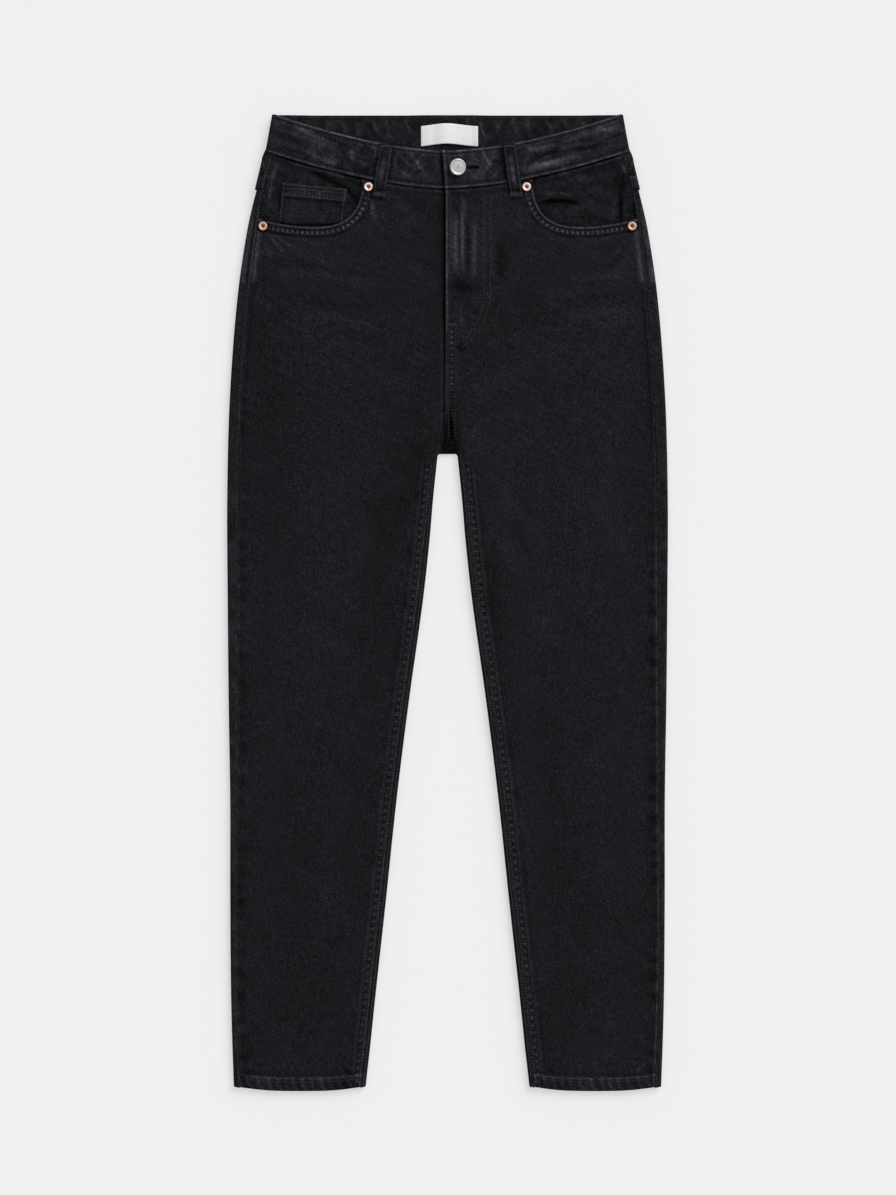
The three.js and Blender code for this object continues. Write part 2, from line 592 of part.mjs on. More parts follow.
// The button: a slightly domed head on a shank that passes through the buttonhole. The pull of the
// waistband tips it towards the buttonhole.
const BUTTON = { x: 10.6, y: 452, r: 8.6, thick: 2.2, shank: 1.3, tip: 14, lean: -20 };
const BUTTONHOLE = { width: 3.4, before: 3, after: 22, deep: 12, below: 3 };
const buttonRise = GAP + BUTTON.r * Math.sin(rad(BUTTON.tip));
const buttonTop = bandSkin(1, BUTTON.x, BAND_Y) + buttonRise;
const shankRise = GAP + BUTTON.shank * Math.sin(rad(BUTTON.tip));
const shankFoot = bandSkin(-1, BUTTON.x, BAND_Y) + shankRise - buttonTop;
const buttonProfile = [
  [0, shankFoot],
  [BUTTON.shank, shankFoot],
  [BUTTON.shank, 0],
  [BUTTON.r - 0.7, 0],
  [BUTTON.r, 0.7],
  [BUTTON.r - 0.2, 1.4],
  [BUTTON.r - 1, BUTTON.thick - 0.4],
  [BUTTON.r * 0.5, BUTTON.thick - 0.1],
  [0, BUTTON.thick],
];

// The buttonhole is cut through the lapping end of the waistband
function cutButtonhole(geometry) {
  const solid = (source) => {
    const keys = new Map();
    const points = [];
    const position = source.getAttribute("position");
    const index = Array.from({ length: position.count }, (_, i) => {
      const point = [position.getX(i), position.getY(i), position.getZ(i)];
      const key = point.map((c) => c.toFixed(4)).join();
      if (!keys.has(key)) keys.set(key, points.push(...point) / 3 - 1);
      return keys.get(key);
    });
    const vertProperties = new Float32Array(points);
    const triVerts = new Uint32Array(index);
    return new wasm.Manifold(new wasm.Mesh({ numProp: 3, vertProperties, triVerts }));
  };
  const { width, before, after, deep, below } = BUTTONHOLE;
  const slot = new THREE.BoxGeometry(before + after, width, deep).toNonIndexed();
  slot.translate(BUTTON.x + (after - before) / 2, BUTTON.y, buttonTop - below);
  const mesh = solid(geometry).subtract(solid(slot)).getMesh();
  const cut = new THREE.BufferGeometry();
  cut.setAttribute("position", new THREE.BufferAttribute(Float32Array.from(mesh.vertProperties), 3));
  cut.setIndex(new THREE.BufferAttribute(mesh.triVerts, 1));
  return cut;
}

// A copper rivet: a ring round a sunk middle
const RIVET = { r: 4.75, thick: 1.5, well: 1.7, deep: 0.7 };
const RIVETS = { waist: { x: 82.2, y: 432.6 }, side: { x: 191.8, y: 391.6 } };
const rivetProfile = [
  [0, 0],
  [RIVET.r, 0],
  [RIVET.r, RIVET.thick * 0.55],
  [RIVET.r - 0.7, RIVET.thick],
  [RIVET.well + 0.4, RIVET.thick],
  [RIVET.well, RIVET.thick - RIVET.deep],
  [0, RIVET.thick - RIVET.deep],
];
function rivetSeat(side, { x, y }) {
  const around = steps(12).map((t) => {
    const a = 2 * Math.PI * t;
    return frontSkin(side, side * (x + RIVET.r * Math.cos(a)), y + RIVET.r * Math.sin(a));
  });
  return Math.max(...around) + GAP;
}

const cloth = new THREE.MeshStandardMaterial({ color: 0x1e1d22, roughness: 0.95, metalness: 0 });
const satin = new THREE.MeshStandardMaterial({ color: 0xe2e3e3, roughness: 0.6, metalness: 0 });
const steel = new THREE.MeshStandardMaterial({ color: 0xc0c4c2, roughness: 0.35, metalness: 1 });
const copper = new THREE.MeshStandardMaterial({ color: 0xc98f6c, roughness: 0.35, metalness: 1 });

const jeans = new THREE.Group();
function add(name, geometry, material = cloth) {
  const mesh = new THREE.Mesh(geometry, material);
  mesh.name = name;
  jeans.add(mesh);
  return mesh;
}

for (const [side, wearer] of [[-1, "right"], [1, "left"]]) {
  add(`front_panel_${wearer}`, frontPanel(side));
  add(`back_panel_${wearer}`, backPanel(side));
  add(`back_yoke_${wearer}`, backYoke(side));
  add(`pocket_facing_${wearer}`, pocketFacing(side));
  add(`back_pocket_${wearer}`, backPocket(side));
  add(`belt_loop_front_${wearer}`, frontLoop(side));
  add(`belt_loop_side_${wearer}`, sideLoop(side));
  for (const [place, spot] of Object.entries(RIVETS)) {
    const rivet = add(`rivet_${place}_${wearer}`, turned(rivetProfile, 20), copper);
    rivet.position.set(side * spot.x, spot.y, rivetSeat(side, spot));
  }
}
add("waistband_front_right", frontBand(-1));
add("waistband_front_left", cutButtonhole(frontBand(1)));
add("waistband_back", backBand());
add("belt_loop_back", backLoop());
add("coin_pocket", coinPocket());
add("fly_shield", strip(SHIELD, DENIM));
add("fly_zip", strip(ZIP, ZIP.thick));
add("waist_label", label(), satin);
const button = add("button", turned(buttonProfile, 28), steel);
button.position.set(BUTTON.x, BUTTON.y, buttonTop);
button.rotation.set(0, rad(BUTTON.tip), rad(BUTTON.lean), "ZYX");

export default jeans;
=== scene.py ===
"""Black five-pocket mom jeans laid flat on their back, seen from straight above.

Millimetres are used throughout and become metres in the meshes. X runs to the viewer's right, Y from the
hems to the waist and Z up from the surface, as in the solids. "side" is 1 for the wearer's left half, which
is on the viewer's right, and -1 for the other half.
"""

import math

import bpy
import numpy as np
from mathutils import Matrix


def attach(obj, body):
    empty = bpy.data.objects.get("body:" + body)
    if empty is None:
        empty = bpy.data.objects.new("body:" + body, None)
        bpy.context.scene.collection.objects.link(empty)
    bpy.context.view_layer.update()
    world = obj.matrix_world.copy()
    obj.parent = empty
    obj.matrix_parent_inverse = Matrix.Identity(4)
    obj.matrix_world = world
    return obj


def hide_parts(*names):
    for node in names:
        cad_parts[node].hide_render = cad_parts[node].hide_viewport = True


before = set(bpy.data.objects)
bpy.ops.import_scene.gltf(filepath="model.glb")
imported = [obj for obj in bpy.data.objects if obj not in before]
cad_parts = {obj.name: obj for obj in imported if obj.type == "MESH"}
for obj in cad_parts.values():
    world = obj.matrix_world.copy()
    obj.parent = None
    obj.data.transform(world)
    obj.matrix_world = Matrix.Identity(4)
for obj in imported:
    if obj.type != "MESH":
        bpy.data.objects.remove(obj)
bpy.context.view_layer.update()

# Camera, floor and light

PICTURE_HIGH = 1242.8  # millimetres of the surface that the picture takes in from top to bottom
LENS = 85.0
SENSOR = 36.0
LOOK_AT = (0.5, 5.7, 5.0)


def place_camera():
    """Straight above the jeans, as far off as the sensor's long side needs for the picture's height."""
    data = bpy.data.cameras.new("camera")
    data.lens = LENS
    data.sensor_width = SENSOR
    data.clip_end = 60
    camera = bpy.data.objects.new("camera", data)
    away = PICTURE_HIGH * LENS / SENSOR
    camera.location = (LOOK_AT[0] / 1000, LOOK_AT[1] / 1000, (LOOK_AT[2] + away) / 1000)
    bpy.context.scene.collection.objects.link(camera)
    bpy.context.scene.camera = camera


def place_lights():
    """A broad soft key from the upper right and an even pale surround."""
    key = bpy.data.lights.new("key", "SUN")
    key.energy = 2.66
    key.angle = math.radians(40)
    key.color = (1.0, 0.995, 0.985)
    lamp = bpy.data.objects.new("key", key)
    lamp.rotation_euler = (math.radians(-40), math.radians(46), 0)
    bpy.context.scene.collection.objects.link(lamp)
    world = bpy.data.worlds.new("surround")
    world.use_nodes = True
    sky = world.node_tree.nodes["Background"]
    sky.inputs["Color"].default_value = (0.99, 0.99, 0.99, 1)
    sky.inputs["Strength"].default_value = 0.56
    bpy.context.scene.world = world
    bpy.context.scene.view_settings.view_transform = "Standard"
    bpy.context.scene.view_settings.look = "None"


def place_floor():
    """A plain pale board a hair below the jeans, lit from within so that its shadows stay faint."""
    size, level = 20.0, -0.0004
    mesh = bpy.data.meshes.new("floor")
    corners = [(-size, -size, level), (size, -size, level), (size, size, level), (-size, size, level)]
    mesh.from_pydata(corners, [], [(0, 1, 2, 3)])
    floor = bpy.data.objects.new("floor", mesh)
    bpy.context.scene.collection.objects.link(floor)
    paint = bpy.data.materials.new("pale_board")
    paint.use_nodes = True
    shader = paint.node_tree.nodes["Principled BSDF"]
    shader.inputs["Base Color"].default_value = (0.345, 0.345, 0.345, 1)
    shader.inputs["Emission Color"].default_value = (1, 1, 1, 1)
    shader.inputs["Emission Strength"].default_value = 0.52
    shader.inputs["Roughness"].default_value = 1
    shader.inputs["Specular IOR Level"].default_value = 0
    mesh.materials.append(paint)


place_camera()
place_lights()
place_floor()

# Sizes shared with the solids

WAIST_Y, HEM_Y, BAND_Y = 507.5, -507.5, 468.0
FRONT_DIP, DIP_POWER = 37.8, 1.57
CROTCH_Y, CROSS_Y = 155.0, 168.5
DENIM, BAND, HEM, HEM_DEPTH = 1.2, 2.4, 2.2, 13.0
FOLD_R, BAND_R, CROTCH_R, GAP = 3.15, 3.6, 1.7, 0.3
BACK_GAP = 0.002

# height, distance of the outer edge from the middle, and from there in to the side seam
SIDE = np.array([
    (507.5, 182.5, 9), (468, 189.8, 9), (430, 198.6, 7.6), (388, 208.4, 10.3), (315, 218.9, 12),
    (211, 226.7, 12), (107, 229.3, 11.6), (3, 228.8, 10.6), (-101, 227.8, 9), (-205, 226.2, 7),
    (-309, 226.1, 6), (-413, 225.2, 6.2), (-507.5, 222.4, 7),
])
# height, distance of a leg's inner edge from the middle, and from there in to the inseam
INNER = np.array([
    (152, 10.5, 4.4), (107, 15.1, 4.6), (65, 18.7, 5.4), (3, 25.5, 5.6), (-101, 40, 5.6), (-205, 53, 5.6),
    (-309, 64, 5.6), (-413, 75.4, 5.6), (-507.5, 85.1, 5.6),
])
# middle, direction, half length, half width and depth of the broad soft folds on each half
FOLDS = [
    (62, 236, -28, 70, 20, 0.9), (150, 300, 14, 60, 22, 0.7), (120, 150, 20, 80, 30, 0.8),
    (140, -60, -12, 70, 34, 0.8), (150, -330, 10, 60, 30, 0.7),
]


def smooth(low, high, value):
    """Eased step from 0 below low to 1 above high: three times the share squared less twice its cube."""
    t = np.clip((value - low) / (high - low), 0.0, 1.0)
    return t * t * (3 - 2 * t)


def lerp(a, b, t):
    """Value at a share of the way from a to b."""
    return a + (b - a) * t


def profile(table, column):
    """Cubic curve through a table's column against its first, with the neighbours' slope at each row."""
    rising = table[np.argsort(table[:, 0])]
    y, value = rising[:, 0], rising[:, column]
    near = np.arange(len(y))
    before, after = np.maximum(near - 1, 0), np.minimum(near + 1, len(y) - 1)
    slope = (value[after] - value[before]) / (y[after] - y[before])

    def at(height):
        q = np.clip(height, y[0], y[-1])
        i = np.clip(np.searchsorted(y, q, side="right") - 1, 0, len(y) - 2)
        span = y[i + 1] - y[i]
        t = (q - y[i]) / span
        ease = t * t * (3 - 2 * t)
        leave = t * (1 - t) ** 2 * span * slope[i]
        arrive = t * t * (t - 1) * span * slope[i + 1]
        return lerp(value[i], value[i + 1], ease) + leave + arrive

    return at


side_edge, side_seam = profile(SIDE, 1), profile(SIDE, 2)
inner_edge, inner_seam = profile(INNER, 1), profile(INNER, 2)


def seam_edge(y):
    """The side seam's front edge, seen from above."""
    return side_edge(y) - side_seam(y) - GAP / 2


def dip_at(share):
    """How far the front waist dips at a share of the way out: deepest in the middle, along a power curve."""
    return FRONT_DIP * (1 - np.minimum(np.abs(share), 1) ** DIP_POWER)


BAND_FOOT_X = side_edge(BAND_Y) - BAND_R


def waist_seam(x):
    """Height in plan of the seam under the front waistband."""
    return BAND_Y - dip_at(x / BAND_FOOT_X)


def waist_top(x):
    """Height in plan of the front waistband's top edge."""
    return WAIST_Y - dip_at(x / (side_edge(WAIST_Y) - BAND_R))


LOOP_WIDE, LOOP_THICK, LOOP_GAP, LOOP_FOOT = 12.5, 1.6, 0.4, 430.0
FRONT_LOOP_WIDE = 13.3


def floor_lift(x, y):
    """Height of the underside: nought on the surface, and more where loops or back pockets lie below it."""
    across = np.abs(x)
    by_loops = smooth(LOOP_FOOT - 32, LOOP_FOOT - 8, y)
    middle = (LOOP_THICK + LOOP_GAP) * (1 - smooth(20, 46, across)) * by_loops
    outside = (LOOP_THICK + LOOP_GAP) * (1 - smooth(20, 46, side_edge(y) - across)) * by_loops
    seat = 1.6 * smooth(202, 238, y) * (1 - smooth(386, 422, y)) * (1 - smooth(178, 214, across))
    return np.maximum(np.maximum(middle, outside), seat)


def slack(x, y):
    """How far the sag between a leg's edges and the broad folds lower the front."""
    across = np.abs(x)
    inner = np.where(y < CROTCH_Y, inner_edge(y), 0)
    share = np.clip((across - inner) / (side_edge(y) - inner), 0, 1)
    sag = 1.5 * (4 * share * (1 - share)) ** 1.5 * (1 - smooth(180, 330, y)) * smooth(HEM_Y, HEM_Y + 60, y)
    near = smooth(10, 40, side_edge(y) - across) * smooth(4, 24, across - inner)
    folds = 0
    for fx, fy, turn, long, wide, deep in FOLDS:
        c, s = math.cos(math.radians(turn)), math.sin(math.radians(turn))
        along = ((across - fx) * c + (y - fy) * s) / long
        off = ((y - fy) * c - (across - fx) * s) / wide
        folds = folds + deep * np.exp(-along * along - off * off)
    return sag + folds * near * (1 - smooth(290, 340, y))


def valley(x, y):
    """How far the front sinks over the crotch, where the folds are narrower, eased out on all sides."""
    deep = 2 * (FOLD_R - CROTCH_R) * (1 - smooth(CROSS_Y, 228, y)) * smooth(147, 153, y)
    return deep * (1 - smooth(7.5, 15, np.abs(x)))


def plain_skin(x, y):
    """Height of the front without its lap: two fold radii over the underside, less the sag and the crotch."""
    return floor_lift(x, y) + 2 * FOLD_R - slack(x, y) - valley(x, y)


FLY_EDGE, FLY_UNDER, FLY_STOP, FLY_OPEN = -2.1, 3.0, 276.0, 300.0


# How far from the middle the raised lap starts and ends its slope, and how much it raises the cloth
LAP_FLAT, LAP_END, LAP_RISE = 34, 60, 2.1


def front_skin(side, x, y):
    """Height of a front panel: the plain front, with the lapping half raised beside the fly."""
    lap = LAP_RISE * (1 - smooth(LAP_FLAT, LAP_END, x)) * smooth(FLY_STOP - 40, FLY_STOP, y)
    return plain_skin(x, y) + (lap if side > 0 else 0)


def band_skin(side, x, y):
    """Height of the front waistband: two of its fold radii over the underside, with its lap raised."""
    lap = (BAND + GAP) * (1 - smooth(LAP_FLAT, LAP_END, x))
    return floor_lift(x, y) + 2 * BAND_R + (lap if side > 0 else 0)


def bezier(points, count):
    """Points of a Bezier curve: each level blends neighbouring points by the share along it."""
    t = np.linspace(0, 1, count)[:, None]
    level = [np.array(p, float)[None, :] * np.ones_like(t) for p in points]
    while len(level) > 1:
        level = [lerp(a, b, t) for a, b in zip(level, level[1:])]
    return level[0]


def run_along(path):
    """Distance along a path to each of its points."""
    return np.append(0, np.cumsum(np.linalg.norm(np.diff(path, axis=0), axis=1)))


SCOOP_SIDE_Y, SCOOP_SHARE = 399.0, 7 / 12
SCOOP = np.concatenate([
    bezier([(88.2, waist_seam(88.2)), (88.5, 405), (105, 390.6), (138, 390.6)], 120),
    bezier([(138, 390.6), (165, 390.6), (seam_edge(SCOOP_SIDE_Y), SCOOP_SIDE_Y)], 80)[1:],
])
SCOOP_RUN = run_along(SCOOP)


def scoop_at(share):
    """Point at a share of the way along the pocket mouth, from the waist to the side."""
    run = share * SCOOP_RUN[-1]
    return np.interp(run, SCOOP_RUN, SCOOP[:, 0]), np.interp(run, SCOOP_RUN, SCOOP[:, 1])


def from_scoop(x, y):
    """Distance to the pocket mouth, and how far along it the nearest point is."""
    away = np.hypot(np.abs(x)[..., None] - SCOOP[:, 0], y[..., None] - SCOOP[:, 1])
    nearest = away.argmin(-1)
    return away.min(-1), SCOOP_RUN[nearest]


def scoop_y(x):
    """Height in plan of the pocket mouth at x."""
    return np.interp(np.abs(x), SCOOP[:, 0], SCOOP[:, 1])


RIVETS = {"waist": (82.2, 432.6), "side": (191.8, 391.6)}


def rivet_shade(x, y):
    """Painted shade round a rivet, in the dent that it presses into the cloth."""
    away = [np.hypot(np.abs(x) - rx, y - ry) for rx, ry in RIVETS.values()]
    return -1.6 * line(np.minimum(*away), 5.6, 1.2)


def hem_rise(share, y):
    """How far the hem curves up towards both ends of its row: the cube of the distance from its middle."""
    return 4.6 * np.abs(2 * share - 1) ** 3 * (1 - smooth(HEM_Y, HEM_Y + 50, y))


def in_hem(y):
    """1 inside the doubled hem and 0 above it."""
    return 1 - smooth(HEM_Y + HEM_DEPTH - 0.3, HEM_Y + HEM_DEPTH + 0.7, y)


# Creases, wear, and painted light and shade


def wander(at, spacing, seed):
    """Uneven wave between -1 and 1: eased steps between seeded levels that are spacing apart."""
    levels = np.random.default_rng(seed).uniform(-1, 1, 600)
    step = np.asarray(at) / spacing + 300
    i = np.floor(step).astype(int)
    t = step - i
    return lerp(levels[i % 599], levels[i % 599 + 1], t * t * (3 - 2 * t))


def line(distance, middle, wide):
    """Soft line: a bell curve of the distance, 1 at its middle."""
    return np.exp(-(((distance - middle) / wide) ** 2))


def lines(distance, *rows):
    """Sum of soft lines along a distance, each with its strength, middle and half width."""
    return sum(strength * line(distance, middle, wide) for strength, middle, wide in rows)


def strokes(x, y, table):
    """Height and tone of soft ridges and troughs, the tone being painted light and shade with some wash wear.

    Each row of the table is a line from one point to another, bowed by its last number. Across it the ridge
    falls off as a bell curve of the given half width, and it eases out over the last third towards each end.
    """
    height = np.zeros(np.broadcast(x, y).shape)
    tone = height.copy()
    for x0, y0, x1, y1, wide, rise, pale, bow in table:
        length = math.hypot(x1 - x0, y1 - y0)
        cx, cy = (x1 - x0) / length, (y1 - y0) / length
        along = ((x - x0) * cx + (y - y0) * cy) / length
        off = (y - y0) * cx - (x - x0) * cy - bow * 4 * along * (1 - along)
        fade = smooth(-wide / length, 0.33, along) * smooth(-wide / length, 0.33, 1 - along)
        shape = fade * np.exp(-((off / wide) ** 2))
        height += rise * shape
        tone += pale * shape
    return height, tone


# start, end, half width, height, tone and bow
# the tone is painted light along a ridge and painted shade along a trough, with some wash wear
FRONT_CREASES = [
    # below the rivets on the viewer's left
    (-82, 424, -74, 396, 1.7, 0.5, 1.4, 0), (-88, 414, -94, 396, 1.8, 0.35, 0.6, 0),
    (-78, 416, -64, 400, 2.0, 0.3, 0.35, 0),
    (-189, 386, -165, 361, 1.8, 0.5, 1.2, -1), (-184, 385, -152, 366, 1.8, 0.4, 0.95, -1),
    (-192, 380, -182, 350, 2.2, 0.35, 0.5, 0), (-170, 382, -122, 372, 2.2, 0.25, 0.3, -2),
    (-176, 372, -156, 356, 2.2, -0.35, -0.4, 0),
    # across the hip on the viewer's left
    (-198, 364, -105, 349, 4.5, 0.35, 0.3, 4), (-198, 342, -62, 326, 5.5, 0.4, 0.3, 6),
    (-194, 353, -120, 341, 3.5, -0.3, -0.2, 4), (-190, 322, -118, 312, 4, -0.3, -0.2, 3),
    (-172, 297, -55, 282, 5.5, 0.35, 0.25, 5), (-160, 311, -84, 300, 3.5, -0.25, -0.15, 4),
    (-150, 268, -66, 262, 5, 0.25, 0.15, 3), (-205, 316, -180, 308, 4, 0.3, 0.25, 0),
    (-66, 428, -24, 384, 3, 0.3, 0.25, 2), (-58, 412, -30, 372, 2.6, 0.2, 0.2, -2),
    (-40, 418, -16, 396, 2.4, -0.2, -0.2, 0), (-52, 360, -12, 322, 4, 0.25, 0.2, 3),
    # below the rivets and across the hip on the viewer's right
    (77, 414, 72, 386, 2.0, 0.35, 0.45, 0), (83, 420, 86, 402, 1.6, 0.3, 0.4, 0),
    (187, 376, 160, 350, 2.6, 0.4, 0.4, 0), (192, 366, 170, 338, 2.6, 0.3, 0.3, 0),
    (176, 384, 150, 372, 2.0, 0.3, 0.35, 0), (182, 362, 158, 344, 2.6, -0.3, -0.3, 0),
    (205, 340, 118, 331, 4.5, 0.35, 0.25, -4), (203, 320, 118, 311, 4, -0.3, -0.2, -3),
    (196, 300, 108, 294, 5, 0.3, 0.18, -4), (72, 317, 150, 326, 4, 0.25, 0.2, -3),
    (66, 300, 120, 306, 3.6, -0.25, -0.15, -3), (60, 268, 140, 258, 6, 0.25, 0.12, 4),
    (56, 382, 57, 332, 4, -0.45, -0.4, 0), (66, 366, 74, 326, 5, 0.25, 0.15, 0),
    (92, 384, 130, 372, 2.4, 0.2, 0.2, 0), (130, 380, 160, 376, 2.2, 0.2, 0.2, 0),
    # out from the crotch
    (-18, 214, -96, 256, 7, 0.4, 0.14, 4), (-18, 192, -84, 212, 6, -0.35, -0.15, 3),
    (-14, 176, -70, 168, 6, 0.35, 0.16, 4), (20, 210, 92, 246, 7, 0.4, 0.14, 4),
    (18, 190, 80, 208, 6, -0.35, -0.15, 3), (16, 174, 74, 160, 6, 0.35, 0.16, -3),
    # thighs, knees and calves on the viewer's left
    (-30, 146, -78, 104, 5, 0.35, 0.16, 0), (-46, 122, -60, 38, 6, -0.4, -0.14, 0),
    (-74, 84, -112, 16, 6, 0.35, 0.14, 2), (-150, 96, -186, 30, 8, 0.35, 0.12, 0),
    (-60, 20, -96, -34, 6, 0.3, 0.12, 0), (-160, -20, -96, -66, 8, 0.35, 0.12, 3),
    (-72, -60, -110, -128, 7, -0.3, -0.12, 0), (-190, -120, -146, -190, 8, 0.3, 0.1, 0),
    (-96, -196, -130, -252, 7, 0.3, 0.12, 2), (-180, -262, -120, -312, 8, 0.3, 0.1, 0),
    (-104, -330, -140, -400, 7, -0.3, -0.12, 0), (-186, -392, -128, -432, 7, 0.35, 0.12, 3),
    (-207, -480, -195, -491, 1.5, 0.4, 0.9, 0), (-204, -484, -196, -492, 1.6, -0.4, -1.0, 0),
    (-108, -485, -99, -492, 1.6, -0.5, -1.2, 0), (-104, -483, -95, -490, 1.4, 0.4, 0.8, 0),
    (-160, -470, -150, -490, 3, 0.3, 0.3, 0), (-120, -440, -150, -478, 6, 0.3, 0.1, 0),
    # thighs, knees and calves on the viewer's right
    (28, 150, 70, 96, 5, 0.35, 0.18, 0), (60, 110, 108, 48, 5, 0.4, 0.2, 2),
    (46, 74, 84, 12, 5, 0.3, 0.16, 0), (54, 96, 92, 36, 4, -0.3, -0.14, 2),
    (150, 110, 190, 44, 8, 0.35, 0.12, 0), (78, 4, 118, -52, 6, 0.3, 0.14, 0),
    (108, 20, 150, -40, 7, -0.3, -0.1, 0), (84, -76, 128, -132, 7, 0.3, 0.12, 0),
    (190, -104, 150, -176, 8, 0.3, 0.1, 0), (90, -160, 124, -228, 7, -0.3, -0.12, 0),
    (120, -236, 176, -282, 8, 0.3, 0.1, 0), (110, -318, 140, -386, 7, 0.3, 0.12, 0),
    (190, -372, 130, -420, 7, -0.3, -0.1, 0), (130, -446, 176, -474, 6, 0.3, 0.12, 0),
    (206, -478, 196, -490, 1.6, 0.4, 0.8, 0), (104, -484, 112, -491, 1.6, -0.5, -1.0, 0),
    (150, -476, 158, -491, 2.5, 0.3, 0.3, 0),
]
# the same for broad light and shade without relief, where the cloth rises towards the light or falls from it
FRONT_SHADES = [
    # on the viewer's left
    (-166, 190, -166, -30, 22, 0, -0.16, 0), (-160, -110, -152, -500, 32, 0, -0.25, 0),
    (-36, 200, -62, 70, 24, 0, -0.18, 0), (-65, 130, -81, -60, 14, 0, -0.32, 0),
    (-92, -130, -96, -290, 22, 0, -0.16, 0), (-84, 300, -90, 200, 40, 0, -0.12, 0),
    (-194, 300, -190, 210, 14, 0, -0.16, 0), (-206, 140, -206, -150, 9, 0, 0.12, 0),
    (-180, 240, -176, 110, 18, 0, -0.2, 0), (-24, 200, -30, 110, 12, 0, -0.2, 0),
    (-152, -380, -150, -540, 26, 0, -0.22, 0),
    # on the viewer's right
    (172, 350, 180, 200, 30, 0, 0.24, 0), (172, 300, 184, -90, 30, 0, 0.18, 0),
    (200, -60, 196, -330, 10, 0, 0.2, 0),
    (106, -10, 112, -190, 19, 0, -0.2, 0), (122, -150, 134, -500, 24, 0, -0.26, 0),
    (80, 345, 92, 262, 15, 0, -0.28, 0), (50, 318, 56, 288, 12, 0, -0.25, 0),
    (40, 226, 64, 190, 16, 0, 0.2, 0), (58, 150, 64, 20, 12, 0, 0.2, 0), (28, 190, 34, 140, 9, 0, 0.3, 0),
    (47, 70, 56, -80, 7, 0, -0.3, 0), (77, -210, 88, -320, 9, 0, 0.2, 0),
]
FLY_CREASES = [
    (8.0, 412, 8.6, 338, 3.2, 0.5, 1.7, 0), (15.2, 428, 15.7, 339, 1.9, 0.5, 2.1, 0),
    (11.4, 404, 11.8, 346, 1.0, -0.2, -0.6, 0), (19.6, 430, 16.8, 396, 1.2, 0.35, 1.3, 0),
    (3.4, 422, 3.6, 350, 1.5, 0.2, 1.0, 0), (20.6, 406, 20.8, 334, 1.9, -0.4, -0.9, 0),
    (27, 406, 27, 328, 1.9, 0.4, 1.7, 0), (31.7, 402, 31.7, 334, 1.5, -0.15, 0.5, 0),
    (38, 406, 38, 326, 1.7, 0.15, 0.6, 0), (45.5, 400, 46, 330, 1.8, 0.2, 0.7, 0),
    (2, 331, 24, 326, 5.5, -0.5, -1.5, 0), (3, 344, 8, 318, 2.2, 0.2, 0.5, 0),
    (14.2, 312, 14.8, 271, 1.3, 0.3, 1.2, 0), (13, 268, 13.6, 261, 3.4, -0.4, -1.8, 0),
    (24, 322, 36, 300, 4, 0.2, 0.3, 0), (8, 316, 9, 286, 3, 0.2, 0.4, 0),
    (6, 426, 26, 420, 3, -0.2, -0.5, 0), (12, 430, 17, 414, 1.2, 0.3, 0.9, 0),
    (54, 380, 55, 332, 4, -0.3, -0.6, 0),
]
